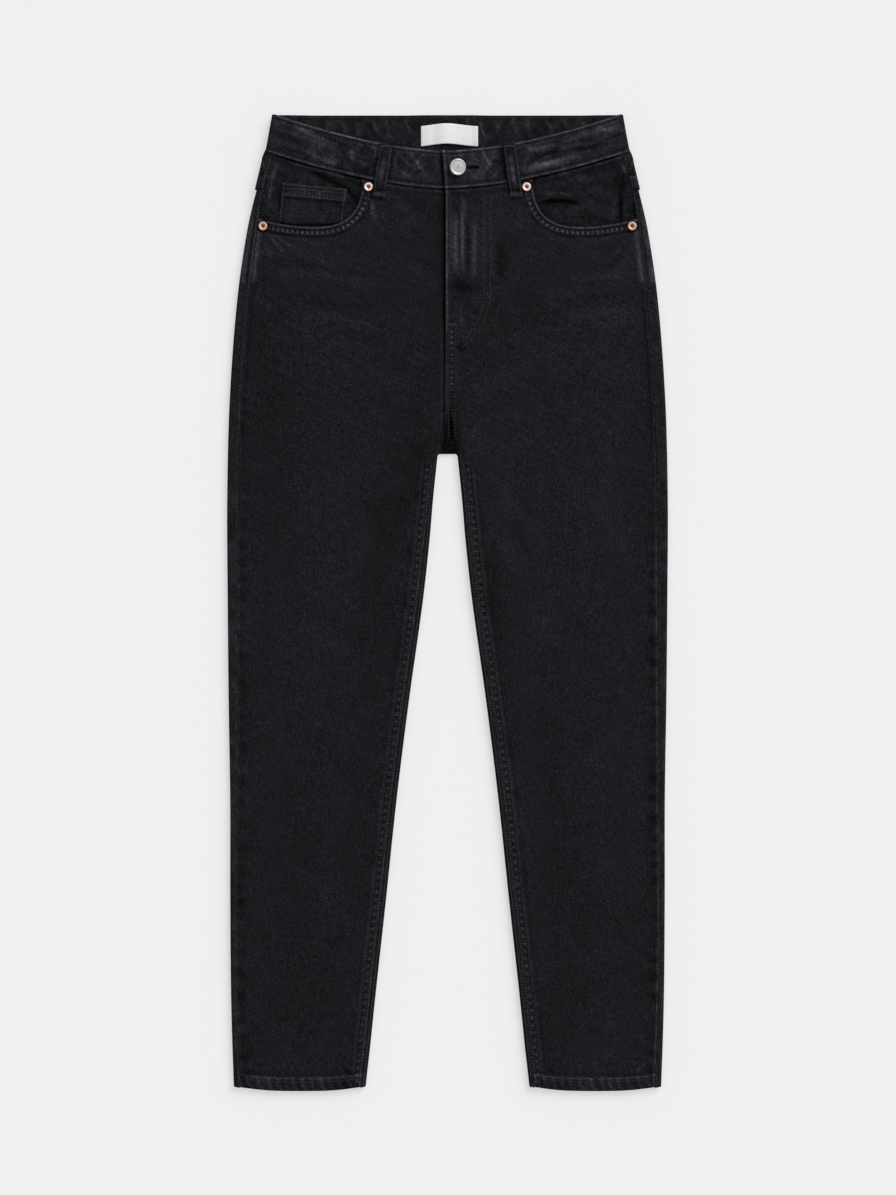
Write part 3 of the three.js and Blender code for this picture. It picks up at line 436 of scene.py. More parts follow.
BAND_CREASES = [
    (79, 454, 118, 473, 1.9, -0.5, -1.0, 1), (94, 457, 126, 468, 1.5, -0.3, -0.5, 0),
    (126, 472, 158, 475, 1.8, -0.4, -0.7, -1), (150, 474, 184, 489, 1.8, -0.4, -0.7, 0),
    (82, 470, 110, 475, 3.6, 0.4, 0.6, 0), (80, 450, 146, 467, 3.2, 0.4, 0.55, 1),
    (130, 479, 184, 496, 2.4, 0.4, 0.5, 1), (-165, 496, -113, 471, 1.9, 0.4, 0.6, 1),
    (-103, 480, -98, 456, 2.4, 0.4, 0.5, 0), (-140, 463, -112, 455, 3.0, 0.4, 0.45, 0),
    (-117, 482, -97, 448, 2.4, -0.4, -0.6, 1), (-90, 447, -74, 457, 3.0, -0.3, -0.7, 0),
    (-178, 488, -150, 476, 3.0, -0.3, -0.4, 0), (-57, 469, -51, 448, 1.3, 0.35, 0.5, 0),
    (-52, 451, -37, 441, 1.3, 0.35, 0.5, 0),
    (-168, 498, -106, 473, 1.6, 0.35, 0.6, 1), (-160, 487, -100, 461, 2.0, 0.3, 0.45, 2),
    (-180, 481, -132, 462, 2.2, 0.3, 0.4, 1), (-152, 493, -96, 470, 1.5, -0.3, -0.45, 1),
    (-140, 497, -84, 479, 1.5, 0.3, 0.5, 0), (-126, 476, -78, 460, 1.6, 0.25, 0.35, 0),
    (-182, 494, -150, 484, 1.8, 0.3, 0.4, 0), (-106, 466, -76, 452, 1.8, 0.25, 0.35, 0),
    (-176, 472, -140, 466, 1.6, -0.25, -0.35, 0), (-90, 476, -74, 466, 1.8, -0.3, -0.35, 0),
    (-51, 467, -35, 450, 1.3, 0.4, 0.7, 0), (-40, 470, -22, 443, 1.3, 0.4, 0.7, 0),
    (-22, 470, -37, 450, 1.2, 0.35, 0.55, 0), (-58, 464, -52, 444, 1.4, 0.3, 0.45, 0),
    (-28, 455, -45, 440, 1.3, 0.3, 0.45, 0), (-13, 466, -9, 447, 1.2, 0.25, 0.35, 0),
    (-46, 456, -30, 462, 1.4, -0.3, -0.4, 0), (-33, 446, -20, 452, 1.5, -0.3, -0.4, 0),
    (35, 471, 46, 451, 1.2, 0.4, 0.7, 0), (53, 470, 36, 444, 1.2, 0.4, 0.65, 0),
    (40, 452, 53, 441, 1.3, 0.3, 0.5, 0), (25, 463, 34, 457, 1.3, 0.3, 0.45, 0),
    (48, 462, 56, 454, 1.3, -0.3, -0.4, 0), (24, 444, 34, 440, 1.4, 0.25, 0.4, 0),
    (77, 447, 118, 459, 4.5, 0.3, 0.75, 2), (79, 458, 112, 467, 2.4, 0.3, 0.5, 0),
    (86, 470, 142, 484, 1.6, 0.3, 0.5, 0), (120, 479, 180, 496, 1.9, 0.3, 0.5, 2),
    (98, 465, 160, 477, 1.6, -0.3, -0.45, 0), (128, 470, 184, 484, 2.0, 0.3, 0.4, 1),
    (148, 492, 184, 503, 1.6, 0.25, 0.4, 0), (110, 474, 150, 485, 1.4, -0.3, -0.4, 0),
    (150, 474, 186, 480, 1.6, -0.3, -0.35, 0), (78, 476, 96, 470, 2.0, 0.3, 0.4, 0),
]
POCKET_CREASES = [
    (-142, 449, -102, 430, 2.4, -0.5, -1.5, 0), (-108, 434, -90, 412, 2.6, -0.5, -1.5, 1),
    (-132, 452, -102, 440, 2.0, 0.4, 0.5, 0), (-176, 458, -184, 437, 1.9, 0.4, 1.1, 0),
    (-183, 440, -186, 414, 1.6, 0.4, 0.9, 0), (-176, 440, -174, 402, 1.6, -0.4, -0.7, 0),
    (-98, 428, -92, 404, 1.4, 0.3, 0.4, 0), (-120, 404, -100, 398, 2.4, -0.3, -0.6, 0),
    (91, 415, 141, 414.5, 1.9, -0.6, -2.8, 3.6), (99, 418, 124, 418.5, 1.4, -0.4, -1.3, 0.5),
    (90, 411, 138, 411, 4.0, 0, -0.6, 3), (98, 424, 132, 423.5, 1.8, 0.5, 0.6, 2),
    (181, 452, 180.5, 424, 3.2, -0.3, -1.0, 0), (181, 459, 185, 446, 1.6, 0.4, 1.1, 0),
    (94, 411, 146, 411, 3.0, 0.35, 0.35, -2), (180, 428, 180, 392, 1.6, -0.6, -2.2, 0),
    (184, 456, 177, 430, 1.8, 0.35, 0.6, 0), (174, 424, 172, 398, 2.4, 0.3, 0.35, 0),
    (108, 446, 150, 440, 3.0, 0.3, 0.35, 1), (120, 402, 168, 400, 2.6, -0.3, -0.5, 0),
    (150, 432, 168, 422, 3.2, 0.25, 0.25, 0), (128, 456, 172, 460, 2.4, 0.2, 0.3, 0),
]
BACK_CREASES = [
    (-30, 330, -150, 300, 6, 0.3, 0.25, 4), (30, 330, 150, 300, 6, 0.3, 0.25, 4),
    (-20, 210, -110, 236, 7, 0.35, 0.2, 3), (22, 204, 106, 232, 7, 0.35, 0.2, 3),
    (-30, 168, -130, 178, 6, 0.3, 0.2, 4), (30, 170, 124, 184, 6, 0.3, 0.2, -4),
    (-186, 410, -150, 402, 4, 0.25, 0.25, 0), (186, 406, 148, 400, 4, 0.25, 0.25, 0),
    (-60, 60, -120, 20, 7, 0.3, 0.15, 0), (64, 52, 126, 10, 7, 0.3, 0.15, 0),
    (-90, 0, -190, -28, 7, 0.35, 0.25, 3), (88, -8, 188, -34, 7, 0.35, 0.25, -3),
    (-80, -36, -170, -66, 6, 0.35, 0.25, -3), (82, -40, 176, -72, 6, 0.35, 0.25, 3),
    (-120, -180, -180, -230, 8, 0.3, 0.12, 0), (118, -190, 176, -246, 8, 0.3, 0.12, 0),
    (-120, -330, -170, -390, 8, 0.3, 0.12, 0), (124, -318, 182, -372, 8, 0.3, 0.12, 0),
]

# Meshes


def spread(*stretches):
    """Rising shares from 0 to 1 made of stretches laid end to end, each of a length and a step."""
    ends = np.cumsum([0.0] + [length for length, _ in stretches])
    parts = [
        np.linspace(a, b, max(round((b - a) / step), 1), endpoint=False)
        for a, b, (_, step) in zip(ends, ends[1:], stretches)
    ]
    return np.append(np.concatenate(parts), ends[-1]) / ends[-1]


def edged(long, step, edge=1.2):
    """Shares across a piece that is so long between its two edges, where the steps are finer."""
    return spread((edge, edge / 2), (long, step), (edge, edge / 2))


def from_ends(share, long):
    """Distance to the nearer end of a stretch of that length."""
    return np.minimum(share, 1 - share) * long


def stack(*parts):
    """Points from their x, y and z, each a grid or a number."""
    return np.stack(np.broadcast_arrays(*parts), -1)


def beside(*grids):
    """Grids joined along their rows."""
    return np.concatenate(grids, 1)


def make_object(name, points, faces, uv=None, **marks):
    """Smooth mesh object from points in millimetres, with a flat layout and named values at each point."""
    mesh = bpy.data.meshes.new(name)
    mesh.from_pydata(points / 1000, [], faces)
    mesh.polygons.foreach_set("use_smooth", np.ones(len(mesh.polygons), bool))
    for key, values in marks.items():
        mesh.attributes.new(key, "FLOAT", "POINT").data.foreach_set("value", values.astype(np.float32))
    if uv is not None:
        at = np.zeros(len(mesh.loops), np.int32)
        mesh.loops.foreach_get("vertex_index", at)
        mesh.uv_layers.new(name="cloth").data.foreach_set("uv", uv[at].astype(np.float32).ravel())
    mesh.update()
    made = bpy.data.objects.new(name, mesh)
    bpy.context.scene.collection.objects.link(made)
    return made


def volume(points, faces):
    """Six times the room inside, negative if the faces point inwards."""
    a, b, c, d = (points[faces[:, k]] for k in range(4))
    return (np.einsum("ij,ij->i", a, np.cross(b, c)) + np.einsum("ij,ij->i", a, np.cross(c, d))).sum()


def cloth(name, outer, inner, kept=None, **marks):
    """Closed cloth shell between two grids of points, with the same marks on both faces.

    The outer and inner faces share rows and columns, and a rim of quads joins their free edges. The flat
    layout runs across by the length along each row and up by the height on the garment.
    """
    rows, columns = outer.shape[:2]
    half = rows * columns
    at = np.arange(half).reshape(rows, columns)
    quads = np.stack([at[:-1, :-1], at[1:, :-1], at[1:, 1:], at[:-1, 1:]], -1).reshape(-1, 4)
    if kept is not None:
        quads = quads[kept.ravel()]
    edges = np.stack([quads, np.roll(quads, -1, 1)], -1).reshape(-1, 2)
    free = edges[~np.isin(edges[:, 0] * half + edges[:, 1], edges[:, 1] * half + edges[:, 0])]
    rim = np.stack([free[:, 1], free[:, 0], free[:, 0] + half, free[:, 1] + half], -1)
    faces = np.concatenate([quads, quads[:, ::-1] + half, rim])
    points = np.concatenate([outer.reshape(-1, 3), inner.reshape(-1, 3)])
    if volume(points, faces) < 0:
        faces = faces[:, ::-1]
    across = np.linalg.norm(np.diff(outer, axis=1), axis=2)
    run = outer[:, :1, 0] + beside(np.zeros((rows, 1)), np.cumsum(across, 1))
    uv = np.stack([run, outer[..., 1]], -1).reshape(-1, 2) / 1000
    used, faces = np.unique(faces, return_inverse=True)
    for key, value in marks.items():
        marks[key] = np.tile(np.broadcast_to(value, (rows, columns)).ravel(), 2)[used]
    return make_object(name, points[used], faces.reshape(-1, 4).tolist(), np.tile(uv, (2, 1))[used], **marks)


def layer(name, x, y, top, thick, **marks):
    """Cloth over plan points: its upper face at a height, its lower face that thickness below."""
    return cloth(name, stack(x, y, top), stack(x, y, top - thick), **marks)


def rounded(from_edge, deep=0.35, wide=1.3):
    """How far a cut or turned edge rolls down, by distance from it."""
    return deep * (1 - smooth(0, wide, from_edge)) ** 2


def turn_side(side, grid):
    """Points of the left half, or mirrored to the right half."""
    return grid * np.array([side, 1, 1])


# Leg panels


def leg_stations():
    """The rows that front and back panels share below the crotch.

    Each has its outer height, its edge point, that point's inward direction, and there the radius of the fold
    and the distance to the seam. Round the crotch the inner edge turns from level to upright on a short arc,
    and below it the rows are level. The last rows are close together for the hem.
    """
    table = np.array([
        # outer, x, turn, r, seam
        (CROSS_Y, BACK_GAP, 0, CROTCH_R, 13.5), (164, 4, 0, CROTCH_R, 13.5), (159, 7.5, 0, CROTCH_R, 13.5),
        (153, 7.5, 45, 2.4, 8), (146, 7.5, 90, FOLD_R, 4.6),
    ])
    arc = 3
    at = np.concatenate([np.arange(0, 2, 0.34), np.arange(2, 4, 0.16), [4.0]])
    outer, x, turn, r, seam = (np.interp(at, np.arange(5), table[:, k]) for k in range(5))
    in_x, in_y = np.sin(np.radians(turn)), np.cos(np.radians(turn))
    t = np.linspace(0, 1, 10)[1:]
    hem_top = HEM_Y + HEM_DEPTH + 1
    y = np.concatenate([
        lerp(152.0, 128.0, t), np.arange(126, hem_top + 0.2, -2.3),
        hem_top - (HEM_DEPTH + 1) * spread((1.2, 0.5), (11.6, 1.1), (1.2, 0.6))])
    stations = {
        "outer": (outer, lerp(146.0, 128.0, t), y[len(t):]),
        "edge_x": (x + arc * in_x, inner_edge(y)),
        "edge_y": (CROTCH_Y - arc + arc * in_y, y),
        "in_x": (in_x, 1 + 0 * y),
        "in_y": (in_y, 0 * y),
        "r": (r, FOLD_R + 0 * y),
        "seam": (seam, inner_seam(y)),
    }
    return {key: np.concatenate(parts)[:, None] for key, parts in stations.items()}


STATIONS = leg_stations()
LEG_COLUMNS = spread((1.2, 0.6), (17, 1.3), (160, 3.1), (17, 1.3), (1.2, 0.6))


def front_middle(side, y):
    """Where a front panel ends at the middle: the lap on one half, under it or at the seam on the other."""
    if side > 0:
        return FLY_EDGE + GAP / 2 + 0 * y
    return lerp(-FLY_EDGE + GAP / 2, -FLY_UNDER, smooth(FLY_STOP + 4, FLY_OPEN, y))


def side_seam_marks(side, y, away):
    """Height and tone beside the side seam: pale and worn at the hip, puckered further down."""
    worn = smooth(331, 336, y) * (1 - smooth(394, 406, y))
    upper = smooth(110, 200, y) * (1 - smooth(325, 333, y))
    low = 0.15 + 0.85 * (1 - smooth(30, 130, y))
    beat = 0.5 + 0.5 * np.sin(2 * np.pi * (y / 20 + 0.6 * wander(y, 48, 31 + side)))
    pucker = smooth(0.3, 0.95, beat) * (0.65 + 0.35 * wander(y, 31, 35 + side))
    tone = worn * (1.2 * line(away, 2.8, 2.0) + 0.6 * (1 - smooth(2, 12, away)))
    tone += 0.5 * line(away, 0.4, 0.9) - upper * 0.6 * line(away, 3.6, 1.6)
    # painted light and shade of the puckers: pale between them by the seam, darker in their hollows
    tone += low * (0.7 * (1 - pucker) * line(away, 0.8, 1.6) - 1.0 * pucker * line(away, 5.2, 3.6))
    tone += low * 0.3 * wander(y, 7, 33 + side) * line(away, 7, 6)
    tone += (0.45 if side > 0 else 0) * line(away, 0.9, 1.1) * (1 - smooth(60, 140, y))
    return low * (0.25 - 0.5 * pucker) * line(away, 4.5, 4), tone


def inseam_marks(side, y, away):
    """Height and tone beside the inseam, by distance from the leg's inner edge."""
    uneven = wander(y, 11, 17 + side) * line(away, 19, 5)
    height = lines(away, (0.2, 10.5, 1.6), (-0.15, 8.0, 0.9), (-0.15, 13.6, 0.9)) + 0.2 * uneven
    return height, 0.35 * uneven + lines(
        away, (1.7, 6.2, 0.9), (-0.5, 8.0, 0.9), (-0.45, 10.5, 1.8), (0.9, 15.6, 0.9), (-0.6, 13.7, 0.9),
        (-0.25, 18.5, 2.0))


def middle_marks(side, x, y):
    """Height and tone beside the fly, the middle seam below it and the shade between the legs."""
    seam = smooth(166, 190, y) * (1 - smooth(284, 292, y))
    if side > 0:
        height, tone = strokes(x, y, FLY_CREASES)
        height += seam * lines(x, (0.2, 4.2, 1.4), (-0.15, 7.8, 1.0))
        tone += seam * lines(x, (1.8, -1.2, 0.9), (-0.5, 1.2, 0.9), (-0.3, 7.3, 1.2))
        tone += seam * 0.9 * line(x, 10.4, 1.0) * smooth(214, 226, y)
        tone += 2.3 * line(x, -0.6, 1.2) * smooth(280, 292, y)
        tone += 0.3 * smooth(334, 346, y) * (1 - smooth(388, 410, y)) * (1 - smooth(20, 52, x))
    else:
        height = 0 * x
        tone = seam * lines(x, (0.7, -6.3, 1.0), (-1.3, -3.1, 1.0))
        # painted shadow that the raised lapping half casts beside the fly's edge, wider near the waist
        tone -= 2.6 * smooth(276, 300, y) * line(x, -3.4, 1.5) + 0.4 * smooth(300, 340, y) * line(x, -8, 3.5)
    opening = 1 - smooth(162, 212, y)
    half = 1 + 6 * opening
    shade = 1.5 * (1 - smooth(0.7 * half, 1.15 * half, np.abs(x - 1.5)))
    shade += 2.2 * line(x, 1 + 8 * np.clip((205 - y) / 50, 0, 1.1), 1.8)
    return height, tone - smooth(0.03, 0.4, opening) * smooth(128, 146, y) * shade


def hem_marks(side, x, y):
    """Height and tone of the hem: its stitching, and upright ridges that lean towards its fold."""
    leaning = x + 0.12 * y + 0.9 * np.minimum(y - HEM_Y - 5, 0)
    ridge = np.sin(2 * np.pi * leaning / 9.6 + 1.6 * wander(x, 26, 43 + side))
    rope = 1.1 * smooth(0.2, 1, ridge) - 0.4 + 0.45 * wander(leaning, 4.4, 41 + side)
    tone = in_hem(y) * (1.2 * rope + 0.25)
    return in_hem(y) * 0.3 * rope, tone + lines(y - HEM_Y, (1.2, HEM_DEPTH + 0.2, 1.2), (-0.35, 17.5, 1.5))


def front_marks(side, x, y, from_side, from_end):
    """Everything pressed, sewn or worn into a front panel: height, tone, and beads between double seams.

    Beads are the pale bumps that the sewing pulls up. They come as their strength at a point and their count
    along the seam, for the finish to draw.
    """
    # the tone holds painted light and shade as well as wear, creases and sewing
    height, tone = strokes(x, y, FRONT_CREASES)
    tone = 1.4 * tone + strokes(x, y, FRONT_SHADES)[1]
    mouth, run = from_scoop(x, y)
    near = 1 - smooth(18, 26, mouth)
    tone += near * lines(mouth, (2.1, 0.8, 0.85), (-0.8, 3.0, 1.1), (-1.1, 10.3, 1.2), (0.35, 12.9, 1.1),
                         (-0.45, 6.3, 2.2))
    height += near * lines(mouth, (0.2, 6.2, 1.6), (-0.14, 3.0, 0.9), (-0.16, 9.6, 1.0))
    leg = 1 - smooth(140, 156, y)
    from_inner = from_end + 5.7
    inseam = inseam_marks(side, y, from_inner)
    height += leg * inseam[0]
    tone += leg * inseam[1]
    for marks in (side_seam_marks(side, y, from_side), middle_marks(side, x, y), hem_marks(side, x, y)):
        height += marks[0]
        tone += marks[1]
    # painted shadow just under the waistband's foot, with a pale line below it and a faint darker band
    tone += lines(waist_seam(x) - y, (1.0, 2.8, 1.2), (-1.1, 0.4, 1.1), (-0.4, 5.5, 2.0))
    # paler down the middle of a leg, darker towards its edges
    width = np.maximum(from_side + from_end, 1)
    tone += rivet_shade(x, y) + 0.88 * (from_side / width) * (from_end / width) - 0.14
    beads = 3.3 * near * line(mouth, 6.2, 1.8) + 2.3 * leg * line(from_inner, 10.5, 1.7)
    count = np.where(y < 160, y / 7.7, run / 5.0)
    if side > 0:
        beads += 2.3 * smooth(214, 226, y) * (1 - smooth(284, 292, y)) * line(x, 4.2, 1.5)
        count = np.where((y >= 160) & (x < 20), y / 6.0, count)
    return height, tone, beads, count


def front_panel(side, wearer):
    """Front leg panel.

    Rows run from the pocket mouth and waist seam down to the hem, columns from the side seam to the middle,
    and below the crotch to the inseam. The height is the draped front, with creases added.
    """
    u = LEG_COLUMNS[None, :]
    mid_y = 318.0
    past_mouth = np.clip((u - SCOOP_SHARE) / (1 - SCOOP_SHARE), 0, 1)
    mouth_x, mouth_y = scoop_at(1 - np.minimum(u / SCOOP_SHARE, 1))
    waist_x = lerp(SCOOP[0, 0], front_middle(side, 400.0), past_mouth)
    top_x = np.where(u < SCOOP_SHARE, mouth_x, waist_x)
    top_y = np.where(u < SCOOP_SHARE, mouth_y, waist_seam(waist_x) - GAP / 2)
    v = spread((1.2, 0.6), (12, 1.1), (65, 2.3))[:-1, None]
    low_x = lerp(seam_edge(mid_y), front_middle(side, mid_y), u)
    corner_x, corner_y = SCOOP[-1]
    bulge = seam_edge(lerp(corner_y, mid_y, v)) - lerp(corner_x, seam_edge(mid_y), v)
    upper_x, upper_y = lerp(top_x, low_x, v) + bulge * (1 - u) ** 2, lerp(top_y, mid_y, v)
    middle_y = np.arange(mid_y, 170, -2.3)[:, None] + 0 * u
    middle_x = lerp(seam_edge(middle_y), front_middle(side, middle_y), u)
    s = STATIONS
    end_x = s["edge_x"] + s["in_x"] * (s["seam"] + GAP / 2)
    end_x[0] = front_middle(side, CROSS_Y)
    end_y = s["edge_y"] + s["in_y"] * (s["seam"] + GAP / 2)
    leg_x, leg_y = lerp(seam_edge(s["outer"]), end_x, u), lerp(s["outer"], end_y, u)
    x = side * np.concatenate([upper_x, middle_x, leg_x])
    plan_y = np.concatenate([upper_y, middle_y, leg_y])
    rise = np.concatenate([0 * upper_y, 0 * middle_y, hem_rise(u, leg_y)])
    run = beside(np.zeros((len(x), 1)), np.cumsum(np.hypot(np.diff(x), np.diff(plan_y)), 1))
    from_side, from_end = run, run[:, -1:] - run
    height, tone, beads, count = front_marks(side, x, plan_y, from_side, from_end)
    y = plan_y + rise
    mouth = from_scoop(x, y)[0]
    hem = in_hem(plan_y)
    rolled = rounded(from_side) + rounded(from_end)
    rolled = rolled + rounded(mouth, 0.5, 1.8) + rounded(plan_y - HEM_Y, 0.6, 1.8)
    rolled = np.minimum(rolled, 0.6)
    top = front_skin(side, x, y) + 0.4 * hem + height - rolled
    thick = lerp(DENIM, HEM, hem) + (HEM - DENIM) * (1 - smooth(10, 20, mouth)) - rolled
    return layer(f"denim_front_{wearer}", x, y, top, thick, tone=tone, beads=beads, count=count)


def underside_marks(x, y):
    """Troughs pressed up into the underside, so that the rest still lies on the surface, and their tone."""
    height, tone = strokes(x, y, BACK_CREASES)
    return np.clip(height, 0, 0.5), -0.8 * tone + 0.12


FOLD_TURN = np.radians(np.linspace(90, -90, 15))
BOTTOM_COLUMNS = spread((168, 4.2), (24, 2.2), (6, 1.2))[1:][None, :]


def side_fold(y, thick, seam_y):
    """Cloth from the side seam on top, level out to the fold, and round it to the underside.

    The strip on top is straight from the seam to where the fold starts, and the fold is half a circle whose
    middle is its radius above the underside.
    """
    edge = side_edge(y)
    centre, middle = edge - FOLD_R, floor_lift(edge, y) + FOLD_R
    seam_x = side_edge(seam_y) - side_seam(seam_y) + GAP / 2
    seam_z = floor_lift(seam_x, seam_y) + 2 * FOLD_R
    t = np.linspace(0, 1, 9)[:-1]
    strip_x, strip_y, strip_z = lerp(seam_x, centre, t), lerp(seam_y, y, t), lerp(seam_z, middle + FOLD_R, t)

    def face(radius, down):
        return stack(beside(strip_x, centre + radius * np.cos(FOLD_TURN)), beside(strip_y, y + 0 * FOLD_TURN),
                     beside(strip_z - down, middle + radius * np.sin(FOLD_TURN)))

    return face(FOLD_R, 0), face(FOLD_R - thick, thick)


def strip_marks(side, x, y):
    """Height and tone of the strip of back cloth between the side seam and the fold."""
    from_fold = side_edge(y) - np.abs(x)
    away = side_seam(y) - from_fold
    worn = smooth(331, 335, y) * (1 - smooth(398, 414, y))
    patchy = wander(y, 8, 51 + side)
    lumps = wander(y, 12, 53 + side) * smooth(1, 4, away)
    low = 0.3 + 0.7 * (1 - smooth(10, 200, y))
    tone = 0.7 * line(away, 0.7, 0.9) * (1 + 0.5 * patchy) + 0.35 * line(from_fold, 1.8, 1.6) + 0.1
    tone += worn * (1.0 + 0.3 * patchy) * (1 - smooth(5, 7, from_fold))
    tone += worn * lines(away, (0.9, 0.9, 0.9), (-0.8, 3.0, 1.2))
    return 0.2 * lumps * (1 - smooth(5, 8, away)), tone + 0.6 * low * lumps + rivet_shade(x, y)


def back_rows(side, fold_y, end_x, level, thick, seam_y):
    """Rows of a back piece: the side fold, then the underside in to its inner end, with marks added."""
    outer, inner = side_fold(fold_y, thick, seam_y)
    strip_height, strip_tone = strip_marks(side, outer[..., 0], outer[..., 1])
    on_top = smooth(0.5, 1.0, (outer[..., 2] - outer[:, -1:, 2]) / (2 * FOLD_R))
    fold_tone = strip_tone * (0.35 + 0.65 * on_top) + 0.15 * (1 - on_top)
    outer[..., 2] += on_top * (strip_height - rounded(outer[..., 0] - outer[:, :1, 0]))
    inner[..., 2] += on_top * strip_height
    t = BOTTOM_COLUMNS
    x = lerp(outer[:, -1:, 0], end_x, t)
    y = level(x, t)
    lift, tone = underside_marks(side * x, y)
    lift = lift * smooth(0, 0.08, t) * smooth(0, 0.04, 1 - t) + rounded(np.abs(end_x - x), 0.3)
    floor = floor_lift(x, y)
    outer = beside(outer, stack(x, y, floor + lift))
    inner = beside(inner, stack(x, y, floor + thick + np.maximum(lift - 0.3, 0)))
    return outer, inner, beside(fold_tone, tone)


YOKE_SIDE, YOKE_MIDDLE = 430.0, 402.0


def yoke_seam(x):
    """Height in plan of the yoke seam, which rises along a power curve from the middle to the side."""
    return lerp(YOKE_MIDDLE, YOKE_SIDE, np.minimum(np.abs(x) / side_edge(YOKE_SIDE), 1) ** 1.2)


def back_yoke(side, wearer):
    """Back yoke: rows blend from the waistband's foot to the sloping yoke seam."""
    v = edged(34, 2.4)[:, None]
    foot = YOKE_SIDE + GAP / 2
    seam_top = waist_seam(side_edge(BAND_Y) - side_seam(BAND_Y)) - GAP

    def level(x, t):
        return lerp(BAND_Y - GAP, yoke_seam(x) + GAP / 2, v)

    outer, inner, tone = back_rows(
        side, lerp(BAND_Y - GAP, foot, v), BACK_GAP, level, DENIM, lerp(seam_top, foot, v))
    under = outer[..., 2] < outer[:, -1:, 2] + 1
    above_seam = outer[..., 1] - yoke_seam(outer[..., 0])
    tone = tone + under * lines(above_seam, (0.6, 0.6, 0.9), (-0.3, 3.6, 1.4))
    return cloth(f"denim_yoke_{wearer}", turn_side(side, outer), turn_side(side, inner), tone=tone)


def inner_turn(side, thick, hem):
    """Back cloth round a leg's inner edge: half a circle up on to the front, and a strip to the inseam."""
    s = STATIONS
    foot_x, foot_y = s["edge_x"] + s["in_x"] * s["r"], s["edge_y"] + s["in_y"] * s["r"]
    a = np.radians(np.linspace(-90, 90, 15))[None, 1:]
    end_x = s["edge_x"] + s["in_x"] * (s["seam"] - GAP / 2)
    end_y = s["edge_y"] + s["in_y"] * (s["seam"] - GAP / 2)
    t = np.linspace(0, 1, 7)[1:]
    strip_x, strip_y = lerp(foot_x, end_x, t), lerp(foot_y, end_y, t)
    strip_z = lerp(2 * s["r"], plain_skin(end_x, end_y) + 0.4 * hem, t)
    away = np.hypot(end_x - strip_x, end_y - strip_y)

    def face(radius, strip_top):
        curl = stack(foot_x - s["in_x"] * radius * np.cos(a), foot_y - s["in_y"] * radius * np.cos(a),
                     s["r"] + radius * np.sin(a))
        return beside(curl, stack(strip_x, strip_y, strip_top))

    shaded = 6.0 if side < 0 else 10.0

    def deep(at):
        """Painted shade inside the crotch, which reaches so far out from the middle."""
        return 1.8 * smooth(132, 152, s["edge_y"]) * (1 - smooth(shaded - 1.5, shaded + 1.5, at)) + 0.2

    upper = smooth(-0.2, 0.3, np.sin(a))
    curl_tone = 0.55 * line(s["r"] * (1 - np.cos(a)), 3.0, 0.9) * upper
    curl_tone = curl_tone + 0.2 * wander(s["edge_y"], 9, 61 + side)
    from_edge = np.hypot(strip_x - s["edge_x"], strip_y - s["edge_y"])
    strip_tone = 0.55 * line(from_edge, 3.0, 0.9) + 0.4 * line(away, 0.4, 0.7)
    tone = beside(curl_tone - deep(foot_x - s["r"] * s["in_x"]), strip_tone - deep(strip_x))
    return face(s["r"], strip_z - rounded(away)), face(s["r"] - thick, strip_z - thick), tone


def back_panel(side, wearer):
    """Back leg panel: from the yoke seam down to the hem.

    Above the crotch a row ends at the middle of the back. Below it, the row goes on round the leg's inner
    edge on half a circle and up on to the front, as far as the inseam.
    """
    even_y = 372.0
    v = spread((1.2, 0.6), (56, 3.2))[:-1, None]
    top_y = lerp(YOKE_SIDE - GAP / 2, even_y, v)
    seat_y = np.arange(even_y, 170, -3.2)[:, None]
    seat = [
        back_rows(side, top_y, BACK_GAP, lambda x, t: lerp(yoke_seam(x) - GAP / 2, even_y, v), DENIM, top_y),
        back_rows(side, seat_y, BACK_GAP, lambda x, t: seat_y + 0 * x, DENIM, seat_y),
    ]
    s = STATIONS
    hem = in_hem(s["outer"])
    thick = lerp(DENIM, HEM, hem)
    foot_x, foot_y = s["edge_x"] + s["in_x"] * s["r"], s["edge_y"] + s["in_y"] * s["r"]
    under = back_rows(side, s["outer"], foot_x, lambda x, t: lerp(s["outer"], foot_y, t), thick, s["outer"])
    outer, inner, tone = (beside(*parts) for parts in zip(under, inner_turn(side, thick, hem)))
    x, y = outer[..., 0], outer[..., 1]
    tone += hem * (0.6 * wander(x * 0.9 - y * 0.55, 5.2, 71 + side) + 0.2)
    share = np.clip((x - inner_edge(y)) / (side_edge(y) - inner_edge(y)), 0, 1)
    rise = np.where(y < CROTCH_Y, hem_rise(share, y), 0)
    outer[..., 1] += rise
    inner[..., 1] += rise
    columns, seat_columns = outer.shape[1], seat[0][0].shape[1]

    def joined(parts, leg):
        """Seat rows as wide as a leg's, by repeating their last column, and the leg's rows below them."""
        wide = [beside(part, np.repeat(part[:, -1:], columns - seat_columns, 1)) for part in parts]
        return np.concatenate([*wide, leg])

    outer, inner, tone = (joined(parts[:-1], parts[-1]) for parts in zip(*seat, (outer, inner, tone)))
    kept = np.ones((len(outer) - 1, columns - 1), bool)
    kept[:len(v) + len(seat_y), seat_columns - 1:] = False
    return cloth(f"denim_back_{wearer}", turn_side(side, outer), turn_side(side, inner), kept, tone=tone)


# Waistband and pockets

BAND_TURN = 14.0
BAND_DEEP, BACK_BAND_DEEP = 39.4, 39.5
BUTTON_X, BUTTON_Y = 10.6, 452.0
LOOP_TOP_X, LOOP_FOOT_X, LOOP_FOOT_Y = 64.0, 71.8, 421.2
LOOP_TOP_Y = float(waist_top(LOOP_TOP_X)) - 0.6


def band_fold(v):
    """Height of the fold and outer edge of the front waistband at a share down it."""
    fold_y = lerp(WAIST_Y, BAND_Y, v)
    return fold_y, side_edge(fold_y) - BAND_R


